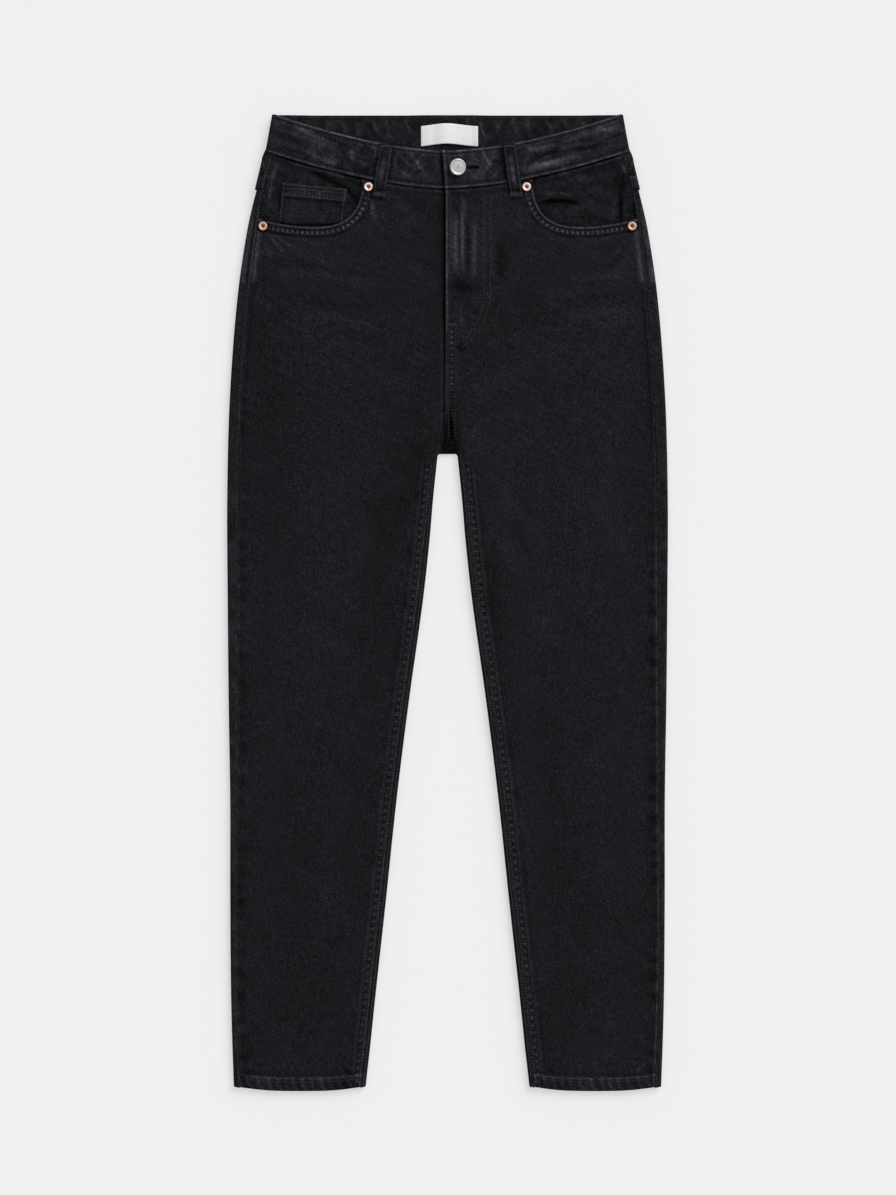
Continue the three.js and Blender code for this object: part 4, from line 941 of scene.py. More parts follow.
def band_y(v, share):
    """Height in plan of the front waistband at a share down it and a share of the way out to its edge."""
    return lerp(WAIST_Y, BAND_Y + GAP / 2, v) - dip_at(share)


def band_end(v):
    """The slightly slanting end of the lapping half."""
    return lerp(-5.2, -2.3, v)


def band_marks(x, y, from_top, from_foot):
    """Height and tone of the waistband: slanting drag lines, and a pale line and a groove along each edge."""
    height, tone = strokes(x, y, BAND_CREASES)
    ripple = wander(x + 0.4 * from_top, 7, 81) * 0.6 + wander(x - 0.5 * from_top, 13, 83) * 0.6
    ripple = ripple * smooth(3, 8, from_top) * smooth(3, 8, from_foot)
    tone = 2.1 * tone + 0.6 * ripple + 0.32
    tone += lines(from_top, (2.1, 0.9, 1.0), (-0.6, 3.3, 1.0), (0.7, 5.5, 1.2))
    tone += lines(from_foot, (2.1, 1.3, 0.95), (-0.8, 4.0, 1.4))
    height += 0.16 * ripple - 0.15 * line(from_top, 3.0, 0.9) - 0.15 * line(from_foot, 3.4, 0.9)
    height += 0.18 * wander(x, 5, 85) * (line(from_top, 6, 3) + line(from_foot, 6, 3))
    # painted shade on the band along the inner side of each front loop
    loop_shade_x = lerp(LOOP_TOP_X, LOOP_FOOT_X, np.clip((BAND_Y - y) / 50, 0, 1)) - 8.0
    return height, tone - 1.5 * line(np.abs(x), loop_shade_x, 1.6)


def front_band(side, wearer):
    """Half of the front waistband, the lapping one with its buttonhole.

    Rows run from its dipping top edge to the waist seam, columns from its end at the fly out to the side,
    round the fold and a little way in under the back.
    """
    v = edged(37, 1.5)[:, None]
    u = spread((1.2, 0.6), (190, 1.7))[None, :]
    end = band_end(v) if side > 0 else -30.0
    fold_y, top_edge = band_fold(v)
    x = lerp(end, top_edge, u)
    y = band_y(v, x / top_edge)
    from_top, from_foot = v * BAND_DEEP + 0 * u, (1 - v) * BAND_DEEP + 0 * u
    height, tone = band_marks(side * x, y, from_top, from_foot)
    rolled = np.minimum(rounded(from_top, 0.7, 2.2) + rounded(from_foot) + rounded(x - end, 0.5, 1.8), 0.8)
    if side > 0:
        tone += lines(x - end, (1.8, 1.2, 1.3), (-0.6, 4.4, 1.1), (0.6, 6.6, 1.0))
        hole = np.hypot(np.clip(np.abs(x - 21) - 8, 0, None), y - BUTTON_Y)
        tone += lines(hole, (-0.7, 0, 2.2), (0.9, 4.2, 1.2))
    else:
        # painted shadow of the lapping half's end, cast on this half beside it
        tone -= 2.3 * line(x, lerp(6.8, 3.9, v), 1.5)
    skin = band_skin(side, side * x, fold_y)
    a = FOLD_TURN[None, 1:]
    middle = floor_lift(side_edge(fold_y), fold_y) + BAND_R
    under_x = top_edge - BAND_TURN * np.linspace(0, 1, 9)[None, 1:]
    under_z = floor_lift(under_x, fold_y)

    def around(front_z, radius, lift):
        around_x = beside(x, top_edge + radius * np.cos(a), under_x)
        around_y = beside(y, fold_y + 0 * a, fold_y + 0 * under_x)
        return stack(side * around_x, around_y, beside(front_z, middle + radius * np.sin(a), under_z + lift))

    fold_tone = 0.3 + 0.2 * wander(fold_y + 0 * a, 6, 87)
    fold_tone = fold_tone + 0.7 * line(v * BAND_DEEP, 0.6, 0.9) + 0.6 * line((1 - v) * BAND_DEEP, 0.8, 0.9)
    outer = around(skin + height * smooth(0, 12, top_edge - x) - rolled, BAND_R, 0)
    inner = around(skin - BAND, BAND_R - BAND, BAND)
    tone = beside(tone, fold_tone, 0 * under_x + 0.1)
    made = cloth(f"denim_waistband_front_{wearer}", outer, inner, tone=tone)
    if side > 0:
        cut_slot(made, BUTTON_X - 3, BUTTON_X + 22, BUTTON_Y - 1.45, BUTTON_Y + 1.45)
    return made


def cut_slot(made, x0, x1, y0, y1):
    """Cuts the buttonhole, a slot with round ends, through the lapping end of the waistband."""
    radius, count = (y1 - y0) / 2, 24
    angle = np.linspace(0, 2 * np.pi, count, endpoint=False)
    centre = np.where(np.cos(angle) > 0, x1 - radius, x0 + radius)
    ring = stack(centre + radius * np.cos(angle), (y0 + y1) / 2 + radius * np.sin(angle), 0 * angle)
    points = np.concatenate([ring + [0, 0, 2.0], ring + [0, 0, 22.0]])
    mesh = bpy.data.meshes.new("slot")
    i = np.arange(count)
    walls = np.stack([i, (i + 1) % count, (i + 1) % count + count, i + count], -1).tolist()
    mesh.from_pydata(points / 1000, [], walls + [i[::-1].tolist(), (i + count).tolist()])
    cutter = bpy.data.objects.new("slot", mesh)
    bpy.context.scene.collection.objects.link(cutter)
    cut = made.modifiers.new("buttonhole", "BOOLEAN")
    cut.operation, cut.object, cut.solver = "DIFFERENCE", cutter, "EXACT"
    shown = made.evaluated_get(bpy.context.evaluated_depsgraph_get())
    done = bpy.data.meshes.new_from_object(shown)
    made.modifiers.clear()
    old, made.data = made.data, done
    bpy.data.objects.remove(cutter)
    bpy.data.meshes.remove(old)
    made.data.name = made.name


def back_band():
    """The back waistband, lying flat with its inner face up: a level strip with slanting puckers."""
    v, u = edged(37, 1.6)[:, None], edged(340, 1.9)[None, :]
    from_top = v * BACK_BAND_DEEP
    y = lerp(WAIST_Y, BAND_Y, v) + 0 * u
    end = side_edge(y) - BAND_R - BAND_TURN - 0.04
    x = lerp(-end, end, u)
    rng = np.random.default_rng(7)
    at = np.cumsum(rng.uniform(13, 20, 22)) - 182
    puckers = [
        (px, 506 - rng.uniform(0, 4), px + rng.uniform(3, 9), 484 + rng.uniform(-6, 6), rng.uniform(1.3, 2.1),
         rng.uniform(0.3, 0.5), rng.uniform(0.4, 0.75), rng.uniform(-1.6, 1.6)) for px in at
    ]
    height, tone = strokes(x, y, puckers)
    tone = 2.3 * tone + 0.24 * wander(x - 0.6 * y, 6, 91)
    tone += 0.3 * wander(x, 3.2, 95) * line(from_top, 2.5, 2) - 0.7 * line(from_top, 0.6, 1.0)
    rolled = rounded(from_top, 0.6, 2.0) + rounded((1 - v) * BACK_BAND_DEEP)
    floor = floor_lift(x, y)
    outer = stack(x, y, floor + BAND + height * smooth(0, 8, from_top) - rolled)
    inner = stack(x, y, floor + 0.12 + 0.1 * wander(x, 9, 93) + 0.6 * rolled)
    return cloth("denim_waistband_back", outer, inner, tone=tone)


def facing_top(side, x, y):
    """Height of a pocket facing: level with the seams at the waist and side, and sunk under the mouth."""
    across = np.abs(x)
    by_waist = 1 - smooth(0, 9, waist_seam(x) - y)
    by_side = (1 - smooth(0, 14, seam_edge(y) - across)) * smooth(10, 28, y - scoop_y(across))
    sunk = 1 - smooth(98, 118, across) * np.maximum(by_waist, by_side)
    return front_skin(side, x, y) - (HEM + 0.5) * sunk


def facing_marks(x, y):
    """Height and tone of a facing: its creases, flat near seams, and its shade behind the mouth's edge."""
    height, tone = strokes(x, y, POCKET_CREASES)
    below = waist_seam(x) - y
    from_seam = side_edge(y) - side_seam(y) - np.abs(x)
    height = height * smooth(-4, 12, y - scoop_y(x)) * smooth(2, 8, below) * smooth(0.5, 5, from_seam)
    tone = 1.6 * tone - 0.5 * (1 - smooth(0, 8, from_scoop(x, y)[0])) - 0.1 + rivet_shade(x, y)
    # painted shadow just under the waistband's foot, with a pale line below it and a faint darker band
    return height, tone + lines(below, (1.0, 3.0, 1.3), (-1.2, 0.4, 1.1), (-0.4, 6.0, 2.0))


def pocket_facing(side, wearer):
    """Facing inside a front pocket, from the waist and side seams in behind the front panel."""
    inner_x, foot_y = 77, 348
    u = spread((1.2, 0.6), (110, 1.9))[None, :]
    v = spread((1.2, 0.6), (60, 1.6), (34, 4))[:, None]
    top = lerp(waist_seam(seam_edge(BAND_Y)), waist_seam(inner_x), u ** 0.8) - GAP / 2
    y = lerp(top, foot_y, v)
    x = side * lerp(seam_edge(y), inner_x, u)
    y = np.minimum(y, waist_seam(x) - GAP / 2)
    height, tone = facing_marks(x, y)
    return layer(f"denim_pocket_facing_{wearer}", x, y, facing_top(side, x, y) + height, DENIM, tone=tone)


# The coin pocket's sides, the heights of its mouth at them, its foot and how far its sides lean in to it
COIN_OUT, COIN_IN, COIN_HIGH, COIN_LOW, COIN_FOOT, COIN_LEAN = 171.2, 104.4, 436.8, 430.6, 394.0, 4.6


def coin_plan(u, v):
    """Point at a share inwards and a share down, from a slanting mouth to a foot above the pocket mouth."""
    x = lerp(COIN_OUT, COIN_IN, u) + COIN_LEAN * v
    return x, lerp(lerp(COIN_HIGH, COIN_LOW, u), np.maximum(COIN_FOOT, scoop_y(x) + 6 * GAP), v)


def coin_level(x, y):
    """Height of the coin pocket's plain face on the wearer's right: two gaps and its wall over the facing."""
    return facing_top(-1, -x, y) + 2 * GAP + DENIM + facing_marks(-x, y)[0]


def coin_pocket():
    """Coin pocket: a patch that follows the facing, with a raised hem band along its mouth."""
    v = spread((1.0, 0.5), (13, 0.9), (0.8, 0.4), (26, 1.4))[:, None]
    u = edged(64, 1.5)[None, :]
    x, y = coin_plan(u, v)
    below = lerp(COIN_HIGH, COIN_LOW, (COIN_OUT - x) / (COIN_OUT - COIN_IN)) - y
    right, left = u * 66, (1 - u) * 66
    band = 1 - smooth(13.2, 14.4, below)
    # painted shade along two creases that cross the pocket, which get no relief here
    crease_shade = strokes(-x, y, [(-139, 447, -104, 431, 2.6, 0, -1.2, 0), (-122, 420, -98, 402, 4, 0, -0.8, 0)])[1]
    tone = crease_shade + 0.2 * band + 0.15 * wander(x + y, 9, 97) - 0.3 * smooth(26, 40, below)
    tone += lines(below, (1.2, 0.8, 1.0), (0.3, 5.4, 1.0), (0.6, 11.8, 1.2), (-1.2, 15.2, 1.2))
    tone += lines(right, (0.9, 1, 1.0), (-0.7, 3.2, 1.2)) + 0.9 * line(left, 1, 1.0)
    rolled = np.minimum(rounded(right) + rounded(left) + rounded(below), 0.4)
    beads = 1.6 * lines(below, (1, 4.6, 1.3), (1, 8.2, 1.3), (1, 11.8, 1.3))
    beads = beads * smooth(0.16, 0.32, u) * (1 - smooth(0.72, 0.9, u))
    top = coin_level(x, y) - 0.1 + 0.4 * band - rolled
    thick = DENIM - 0.2 + 0.5 * band
    return layer("denim_coin_pocket", -x, y, top, thick, tone=tone, beads=beads, count=x / 3.9)


# A back pocket's inner side and width, the height of its mouth and how much that rises outwards, its depth at
# the sides, and how far its point goes below them
POCKET_IN, POCKET_WIDE, POCKET_TOP, POCKET_RISE = 36.0, 138.0, 378.0, 6.0
POCKET_DEEP, POCKET_POINT = 112.0, 24.0
POCKET_OUT, POCKET_LOW = POCKET_IN + POCKET_WIDE, POCKET_TOP - POCKET_DEEP


def back_pocket(side, wearer):
    """Back pocket under the seat: each column runs from the slanting mouth to the pointed foot."""
    u = edged(134, 2.6)[None, :]
    v = spread((1.0, 0.5), (26, 1.3), (100, 2.8), (1.2, 0.6))[:, None]
    corner = 4 * smooth(0, 0.9, v) + 5 * np.clip((v - 0.9) / 0.1, 0, 1) ** 2
    x = side * lerp(POCKET_IN + corner, POCKET_OUT - corner, u)
    top = POCKET_TOP + POCKET_RISE * (u - 0.5)
    off = np.abs(u - 0.5) * 2
    foot = lerp(POCKET_LOW - POCKET_POINT, POCKET_LOW - 5, off) + 15 * np.maximum(off - 0.9, 0) + 1.5 * u
    y = lerp(top, foot, v)
    from_top = top - y
    edge = np.minimum(np.minimum(from_ends(u, POCKET_WIDE), y - foot), from_top)
    tone = strokes(x, y, BACK_CREASES)[1] + lines(edge, (0.7, 0.5, 0.9), (-0.3, 3.4, 1.0))
    tone += 0.12 * wander(np.abs(x) + y, 12, 99) + lines(from_top, (0.3, 17.5, 0.9), (-0.35, 19.5, 1.0))
    lift = rounded(edge) + 0.12 * smooth(18.6, 20, from_top) + 0.1
    return cloth(f"denim_back_pocket_{wearer}", stack(x, y, lift), stack(x, y, 1.15), tone=tone)


# Loops, fly and label


def loop_tone(u, run, worn):
    """Belt loop: pale edges with a groove inside each, and a middle that is worn pale in places."""
    tone = lines(from_ends(u, LOOP_WIDE), (0.9, 0.8, 0.8), (-0.5, 2.8, 0.9)) + 0.25 * wander(run, 4, 107)
    return tone + worn * (1.6 + 0.8 * wander(run, 6, 101)) * line(u * LOOP_WIDE, 6.0, 2.3)


def front_loop_plan(v, lean):
    """A point of a front loop at a share down it and a distance out from its middle line."""
    tilt = (LOOP_FOOT_X - LOOP_TOP_X) / (LOOP_TOP_Y - LOOP_FOOT_Y)
    return lerp(LOOP_TOP_X, LOOP_FOOT_X, v) + lean, lerp(LOOP_TOP_Y, LOOP_FOOT_Y, v) + lean * tilt


def front_loop_top(side, x, y):
    """Height of a front loop's face: a gap and its wall over the waistband and the front, bowed between."""
    share = np.clip((LOOP_TOP_Y - y) / (LOOP_TOP_Y - LOOP_FOOT_Y), 0, 1)
    past = smooth(2, 9, waist_seam(x) - y)
    base = lerp(band_skin(side, side * x, BAND_Y), front_skin(side, side * x, y), past)
    return base + 0.9 * np.sin(np.pi * share) ** 2 + LOOP_GAP + LOOP_THICK


def front_loop(side, wearer):
    """Front belt loop: a strip that bows over the waistband and dips on to the front below the waist seam."""
    v, u = edged(48, 1.3, 1.0)[:, None], edged(10.5, 0.75, 1.0)[None, :]
    x, y = front_loop_plan(v, (u - 0.5) * FRONT_LOOP_WIDE)
    edge = from_ends(u, FRONT_LOOP_WIDE)
    run = LOOP_TOP_Y - y
    folded = line(run, 1.5, 1.5) + line(LOOP_TOP_Y - LOOP_FOOT_Y - run, 1.5, 1.5)
    ribs = lines(edge, (0.3, 1.6, 1.1), (-0.15, 6.2, 2))
    top = front_loop_top(side, x, y) + ribs + 0.2 * folded - rounded(edge, 0.6, 1.2)
    worn = smooth(8, 20, run) * (1 - smooth(34, 46, run))
    tone = loop_tone(u, run + 7 * side, worn) + lines(run, (-2.2, 47.5, 1.3), (0.9, 50.6, 1.2))
    return layer(f"denim_belt_loop_front_{wearer}", side * x, y, top, LOOP_THICK, tone=tone)


def back_loop():
    """The middle back loop, flat under the back waistband."""
    v, u = edged(58, 1.8, 1.0)[:, None], edged(10.5, 0.9, 1.0)[None, :]
    x, y = (u - 0.5) * LOOP_WIDE + 0 * v, lerp(WAIST_Y - 1, 446, v) + 0 * u
    edge = from_ends(u, LOOP_WIDE)
    low = rounded(edge, 0.4, 1.2) + 0.1 * line(edge, 5, 1.6)
    tone = loop_tone(u, y, 0.4) - 0.1
    return cloth("denim_belt_loop_back", stack(x, y, low), stack(x, y, LOOP_THICK), tone=tone)


SIDE_LOOP_TOP = 503


def side_loop(side, wearer):
    """Side belt loop: it starts behind the fold and swings round it on to the front lower down."""
    y = np.append(np.linspace(SIDE_LOOP_TOP, BAND_Y, 26), np.linspace(BAND_Y - GAP, LOOP_FOOT, 26))[:, None]
    u = edged(10.5, 0.7, 1.0)[None, :]
    r = lerp(FOLD_R, BAND_R, smooth(BAND_Y - 2.5, BAND_Y - GAP, y))
    centre, middle = side_edge(y) - r, floor_lift(side_edge(y), y) + r
    s = lerp(2.2, -11, smooth(440, 484, y)) + (u - 0.5) * LOOP_WIDE
    past = np.maximum(np.abs(s) - np.pi * r / 2, 0)
    a = np.clip(s / r, -np.pi / 2, np.pi / 2)
    edge = from_ends(u, LOOP_WIDE)

    def skin(out):
        return stack(side * (centre - past + (r + out) * np.cos(a)), y, middle + (r + out) * np.sin(a))

    outer = skin(LOOP_GAP + LOOP_THICK - 0.2 + 0.2 * line(edge, 1.6, 1.1) - rounded(edge, 0.5, 1.2))
    tone = loop_tone(u, SIDE_LOOP_TOP - y + 5 * side, 0.4) + lines(y, (-1.8, 445.5, 1.5), (1.1, 442, 1.2))
    return cloth(f"denim_belt_loop_side_{wearer}", outer, skin(LOOP_GAP), tone=tone)


def fly_strip(name, left, right, low, rise, thick):
    """A flat strip of cloth behind the fly, lying a given height above the seat."""
    u, v = edged(right - left - 2, 2.2, 1.0)[None, :], edged(128, 3.4, 1.0)[:, None]
    x = lerp(left, right, u) + 0 * v
    y = lerp(waist_seam(x) - 2, low, v)
    edge = np.minimum(from_ends(u, right - left), y - low)
    rolled = rounded(edge, 0.25, 0.9)
    rib = 0.12 * line(edge, 3.0, 1.0) + 0.06 * wander(y + x, 12, 109)
    top = plain_skin(x, y) - 2 * FOLD_R + rise + thick + rib - rolled
    tone = 0.5 * line(edge, 0.8, 0.8) + 0.2 * wander(y, 7, 111)
    return layer(name, x, y, top, thick - rolled, tone=tone)


ZIP_THICK = 1.3
LABEL_LEFT, LABEL_RIGHT, LABEL_LOW, LABEL_HIGH = -27.6, 31.7, 475.0, 496.0
LABEL_THICK, LABEL_RISE = 0.8, 2.6


def label_arch(x):
    """Share of the label's arch at x: a squared sine wave whose top lies a little left of the middle."""
    return np.sin(np.pi * ((x - LABEL_LEFT) / (LABEL_RIGHT - LABEL_LEFT)) ** 0.85) ** 2


def label_top(x, y):
    """Height of the label's face where it lies flat: a gap and its own wall over the back waistband."""
    return floor_lift(x, y) + BAND + GAP + LABEL_THICK


def label():
    """Blank satin label, arched and puffed in the middle, with its two ends sewn down."""
    u, v = edged(57, 1.2, 1.0)[None, :], edged(19, 1.2, 1.0)[:, None]
    x = lerp(LABEL_LEFT, LABEL_RIGHT, u) + 0 * v
    wave = label_arch(np.clip(x, LABEL_LEFT, LABEL_RIGHT))
    y = lerp(LABEL_HIGH, LABEL_LOW, v) + LABEL_RISE * wave
    puff = wave * (1 + 0.3 * lines(x, (1, 6, 9), (-1, -11, 6)))
    from_end = from_ends(u, LABEL_RIGHT - LABEL_LEFT)
    rolled = rounded(np.minimum(from_ends(v, LABEL_HIGH - LABEL_LOW), from_end), 0.25, 0.9)
    # painted light and shade of the satin's arch and soft folds, darker near its sewn-down ends
    tone = lines(x, (0.1, 2, 7), (-0.14, -11, 3.5)) - 0.06 * smooth(15, 30, x)
    tone += 0.05 * line(v, 0.3, 0.4) - 0.12 * line(from_end, 5.0, 1.2)
    return layer("satin_label", x, y, label_top(x, y) + puff - rolled, LABEL_THICK - rolled, tone=tone)


# Metal


def turned(name, outline, sides, place, turn=np.eye(3), pit=0.001, rim=0.0):
    """Turned piece: its outline of radius and height carried round the axis, closed at both poles.

    Its tone falls to -1 inside the radius of its pit, which is the poles alone if none is given, and by the
    given share on its rim.
    """
    outline = np.array(outline, float)
    ring = outline[outline[:, 0] > 1e-6]
    angle = np.linspace(0, 2 * np.pi, sides, endpoint=False)
    body = stack(ring[:, 0, None] * np.cos(angle), ring[:, 0, None] * np.sin(angle), ring[:, 1, None])
    points = np.concatenate([[[0, 0, outline[0, 1]], [0, 0, outline[-1, 1]]], body.reshape(-1, 3)])
    at = np.arange(len(ring) * sides).reshape(len(ring), sides) + 2
    after = np.roll(at, -1, 1)
    quads = np.stack([at[:-1], after[:-1], after[1:], at[1:]], -1).reshape(-1, 4)
    low = np.stack([0 * at[0], after[0], at[0]], -1)
    high = np.stack([0 * at[0] + 1, at[-1], after[-1]], -1)
    out = np.hypot(points[:, 0], points[:, 1])
    tone = -(1 - smooth(0.75, 1.0, out / pit)) - rim * smooth(4.1, 4.6, out)
    faces = quads.tolist() + low.tolist() + high.tolist()
    return make_object(name, points @ turn.T + place, faces, tone=tone)


def round_profile(points, steps=4):
    """A profile with each corner drawn as a short curve through the middles of its neighbouring edges."""
    points = np.array(points, float)
    out = [points[0]]
    for before, corner, after in zip(points, points[1:], points[2:]):
        out += list(bezier([lerp(corner, before, 0.3), corner, lerp(corner, after, 0.3)], steps))
    return np.array(out + [points[-1]])


def button():
    """Shank button: a shallow dish with a rolled rim on a short shank, tipped by the band's pull."""
    radius, shank, tip_angle, lean_angle = 8.6, 1.3, math.radians(14), math.radians(-20)
    head_z = float(band_skin(1, BUTTON_X, BAND_Y)) + GAP + radius * math.sin(tip_angle)
    foot = float(band_skin(-1, BUTTON_X, BAND_Y)) + GAP + shank * math.sin(tip_angle) - head_z
    c, s = math.cos(tip_angle), math.sin(tip_angle)
    tip = np.array([[c, 0, s], [0, 1, 0], [-s, 0, c]])
    c, s = math.cos(lean_angle), math.sin(lean_angle)
    lean = np.array([[c, -s, 0], [s, c, 0], [0, 0, 1]])
    head = round_profile([
        (shank, 0), (7.6, 0), (radius, 0.5), (radius, 1.5), (7.9, 2.15), (7.1, 2.1), (6.5, 1.72), (4.0, 1.86),
        (0.001, 1.95)])
    outline = [(0, foot), (shank, foot)] + head[:-1].tolist() + [(0, 1.95)]
    return turned("waist_button", outline, 72, [BUTTON_X, BUTTON_Y, head_z], lean @ tip)


def rivet(side, wearer, place):
    """Copper rivet: a ring round a sunk middle with a low nub."""
    (x, y), radius = RIVETS[place], 4.75
    a = np.linspace(0, 2 * np.pi, 24)
    seat = front_skin(side, side * (x + radius * np.cos(a)), y + radius * np.sin(a)).max() + GAP
    ring = round_profile([
        (4.3, 0.02), (radius, 0.3), (radius, 0.9), (4.1, 1.45), (2.9, 1.45), (1.9, 0.75), (1.3, 0.6),
        (0.9, 0.85), (0.4, 0.95)])
    outline = [(0, 0), (0.4, 0)] + ring.tolist() + [(0, 0.96)]
    return turned(f"copper_rivet_{place}_{wearer}", outline, 40, [side * x, y, seat], pit=2.2, rim=0.9)


# Sewing

THREADS = {}


def add_threads(group, start, end, wide, facing=1.0):
    """Adds stitches of one width between starts and ends, with their round side up (1) or down (-1)."""
    THREADS.setdefault(group, []).append((start, end, np.full(len(start), wide), np.full(len(start), facing)))


def stitches(group, path, pitch=3.3, long=2.6, wide=0.46, facing=1.0):
    """Adds a row of stitches along a path: one short grain of thread in each pitch, lying on the cloth."""
    run = run_along(path)
    count = max(int(run[-1] / pitch), 1)
    at = (np.arange(count) + 0.5) * run[-1] / count
    half = long / 2 * min(1, run[-1] / count / pitch)
    ends = [np.stack([np.interp(at + d, run, path[:, k]) for k in range(3)], -1) for d in (-half, half)]
    add_threads(group, *ends, wide, facing)


def tack(group, a, b, count, long, wide=0.4, facing=1.0):
    """Adds a bar tack from a to b: close stitches that lie across its length."""
    a, b = np.asarray(a, float), np.asarray(b, float)
    along = (b - a) / np.linalg.norm(b - a)
    reach = np.array([-along[1], along[0], 0]) * long / 2 + along * 0.25
    middle = lerp(a, b, (np.arange(count) + 0.5)[:, None] / count)
    add_threads(group, middle - reach, middle + reach, wide, facing)


def sew(group):
    """Makes one mesh of a group's stitches.

    Each is a grain with six sides: rings of three sizes along it, and a point at each end. The grain sits a
    third of its width into the cloth.
    """
    start, end, wide, facing = (np.concatenate(part) for part in zip(*THREADS[group]))
    along = (end - start) / np.linalg.norm(end - start, axis=1, keepdims=True)
    across = np.cross(np.stack([0 * wide, 0 * wide, facing], -1), along)
    across /= np.linalg.norm(across, axis=1, keepdims=True)
    up = np.cross(along, across)
    sunk = np.where(facing < 0, 0.5, 0.0)[:, None] * [0, 0, 1]
    start, end = start + sunk, end + sunk
    angle = np.linspace(0, 2 * np.pi, 6, endpoint=False)[:, None]
    shares, sizes, lift = np.array([[0.12, 0.5, 0.88], [0.75, 1.0, 0.75], [0.3, 0.75, 0.3]])
    centre = start[:, None] + (end - start)[:, None] * shares[:, None]
    centre = centre + up[:, None] * (wide[:, None] * lift)[..., None]
    radius = wide[:, None, None, None] * sizes[:, None, None]
    ring = np.cos(angle) * across[:, None, None] + np.sin(angle) * up[:, None, None]
    body = (centre[:, :, None] + radius * ring).reshape(len(start), -1, 3)
    points = np.concatenate([start[:, None], body, end[:, None]], 1)
    i = np.arange(6)
    j = (i + 1) % 6
    quads = np.concatenate([np.stack([1 + k + i, 1 + k + j, 7 + k + j, 7 + k + i], -1) for k in (0, 6)])
    caps = np.concatenate([np.stack([0 * i, 1 + j, 1 + i], -1), np.stack([0 * i + 19, 13 + i, 13 + j], -1)])
    shift = (np.arange(len(start)) * 20)[:, None, None]
    faces = (quads + shift).reshape(-1, 4).tolist() + (caps + shift).reshape(-1, 3).tolist()
    return make_object(group, points.reshape(-1, 3), faces)


def on_front(side, x, y, lift=0.0):
    """Points on a front panel's face, at signed x."""
    x, y = np.broadcast_arrays(np.asarray(x, float), np.asarray(y, float))
    creased = strokes(x, y, FRONT_CREASES)[0] + (strokes(x, y, FLY_CREASES)[0] if side > 0 else 0)
    return stack(x, y, front_skin(side, x, y) + creased + lift)


def on_floor(group, x, y, lift=0.0):
    """Adds a row of stitches to the underside, at a height above where it rests."""
    stitches(group, stack(x, y, lift + 0 * x), facing=-1)


def beside_scoop(side, away):
    """Path on the front panel at a distance outside the pocket mouth."""
    tangent = np.gradient(SCOOP, axis=0)
    tangent /= np.linalg.norm(tangent, axis=1, keepdims=True)
    x, y = (SCOOP + np.stack([tangent[:, 1], -tangent[:, 0]], -1) * away).T
    keep = (y < waist_seam(x) - 1.5) & (x < side_edge(y) - side_seam(y) - 1)
    return on_front(side, side * x[keep], y[keep])


def sew_fronts():
    """Topstitching of the pocket mouths, the inseams, the hems and the upper ends of the side seams."""
    y = np.linspace(128, HEM_Y + HEM_DEPTH, 300)
    edge, curl_x = inner_edge(y), 3.0
    curl_z = FOLD_R + math.sqrt(FOLD_R ** 2 - (FOLD_R - curl_x) ** 2)
    share, hem_y = np.linspace(0.03, 0.97, 120), HEM_Y + 9.5
    outer_x = side_edge(hem_y) - 1.2 * side_seam(hem_y)
    hem_x = lerp(outer_x, inner_edge(hem_y) + 1.2 * inner_seam(hem_y), share)
    rise = hem_rise(share, hem_y)
    under = lerp(side_edge(hem_y) - 6, inner_edge(hem_y) + 6, share)
    hip_y = np.linspace(462, 334, 80)
    hip_x = side_edge(hip_y) - side_seam(hip_y) + 2.2
    for side in (-1, 1):
        stitches("stitching_pockets", beside_scoop(side, 2.0))
        stitches("stitching_pockets", beside_scoop(side, 7.9))
        stitches("stitching_inseams", on_front(side, side * (edge + 14.0), y))
        stitches("stitching_inseams", on_front(side, side * (edge + 8.1), y), 3.3, 2.5)
        stitches("stitching_inseams", stack(side * (edge + curl_x), y, curl_z))
        stitches("stitching_hems", on_front(side, side * hem_x, hem_y + rise, 0.4))
        on_floor("stitching_hems", side * under, hem_y + rise)
        stitches("stitching_sides", stack(side * hip_x, hip_y, floor_lift(hip_x, hip_y) + 2 * FOLD_R + 0.1))


def fly_path(out, foot):
    """The fly's topstitching: straight down beside the opening, then a curve in to it near its foot."""
    x, turn_y = 38.0 + out, 322
    straight = np.stack([np.full(40, x), np.linspace(426, turn_y, 40)], -1)
    curve = bezier([(x, turn_y), (x, 300), (27 + out * 0.6, 281 - out * 0.7), (foot, 271 - out)], 30)
    path = np.concatenate([straight, curve[1:]])
    return on_front(1, path[:, 0], path[:, 1])


def sew_fly():
    """The fly's curved topstitching, its edge row and tacks, and the double row down to the crotch."""
    stitches("stitching_fly", fly_path(0, 15))
    stitches("stitching_fly", fly_path(6.2, 14))
    stitches("stitching_fly", on_front(1, 2.2, np.linspace(424, 300, 80)))
    tack("stitching_fly", on_front(1, -1.2, 289, 0.1), on_front(1, 8.6, 289, 0.1), 16, 2.4)
    tack("stitching_fly", on_front(1, 40, 322, 0.1), on_front(1, 45, 316, 0.1), 9, 2.2)
    for x in (1.2, 7.6):
        stitches("stitching_fly", on_front(1, x, np.linspace(286, 172, 100)))


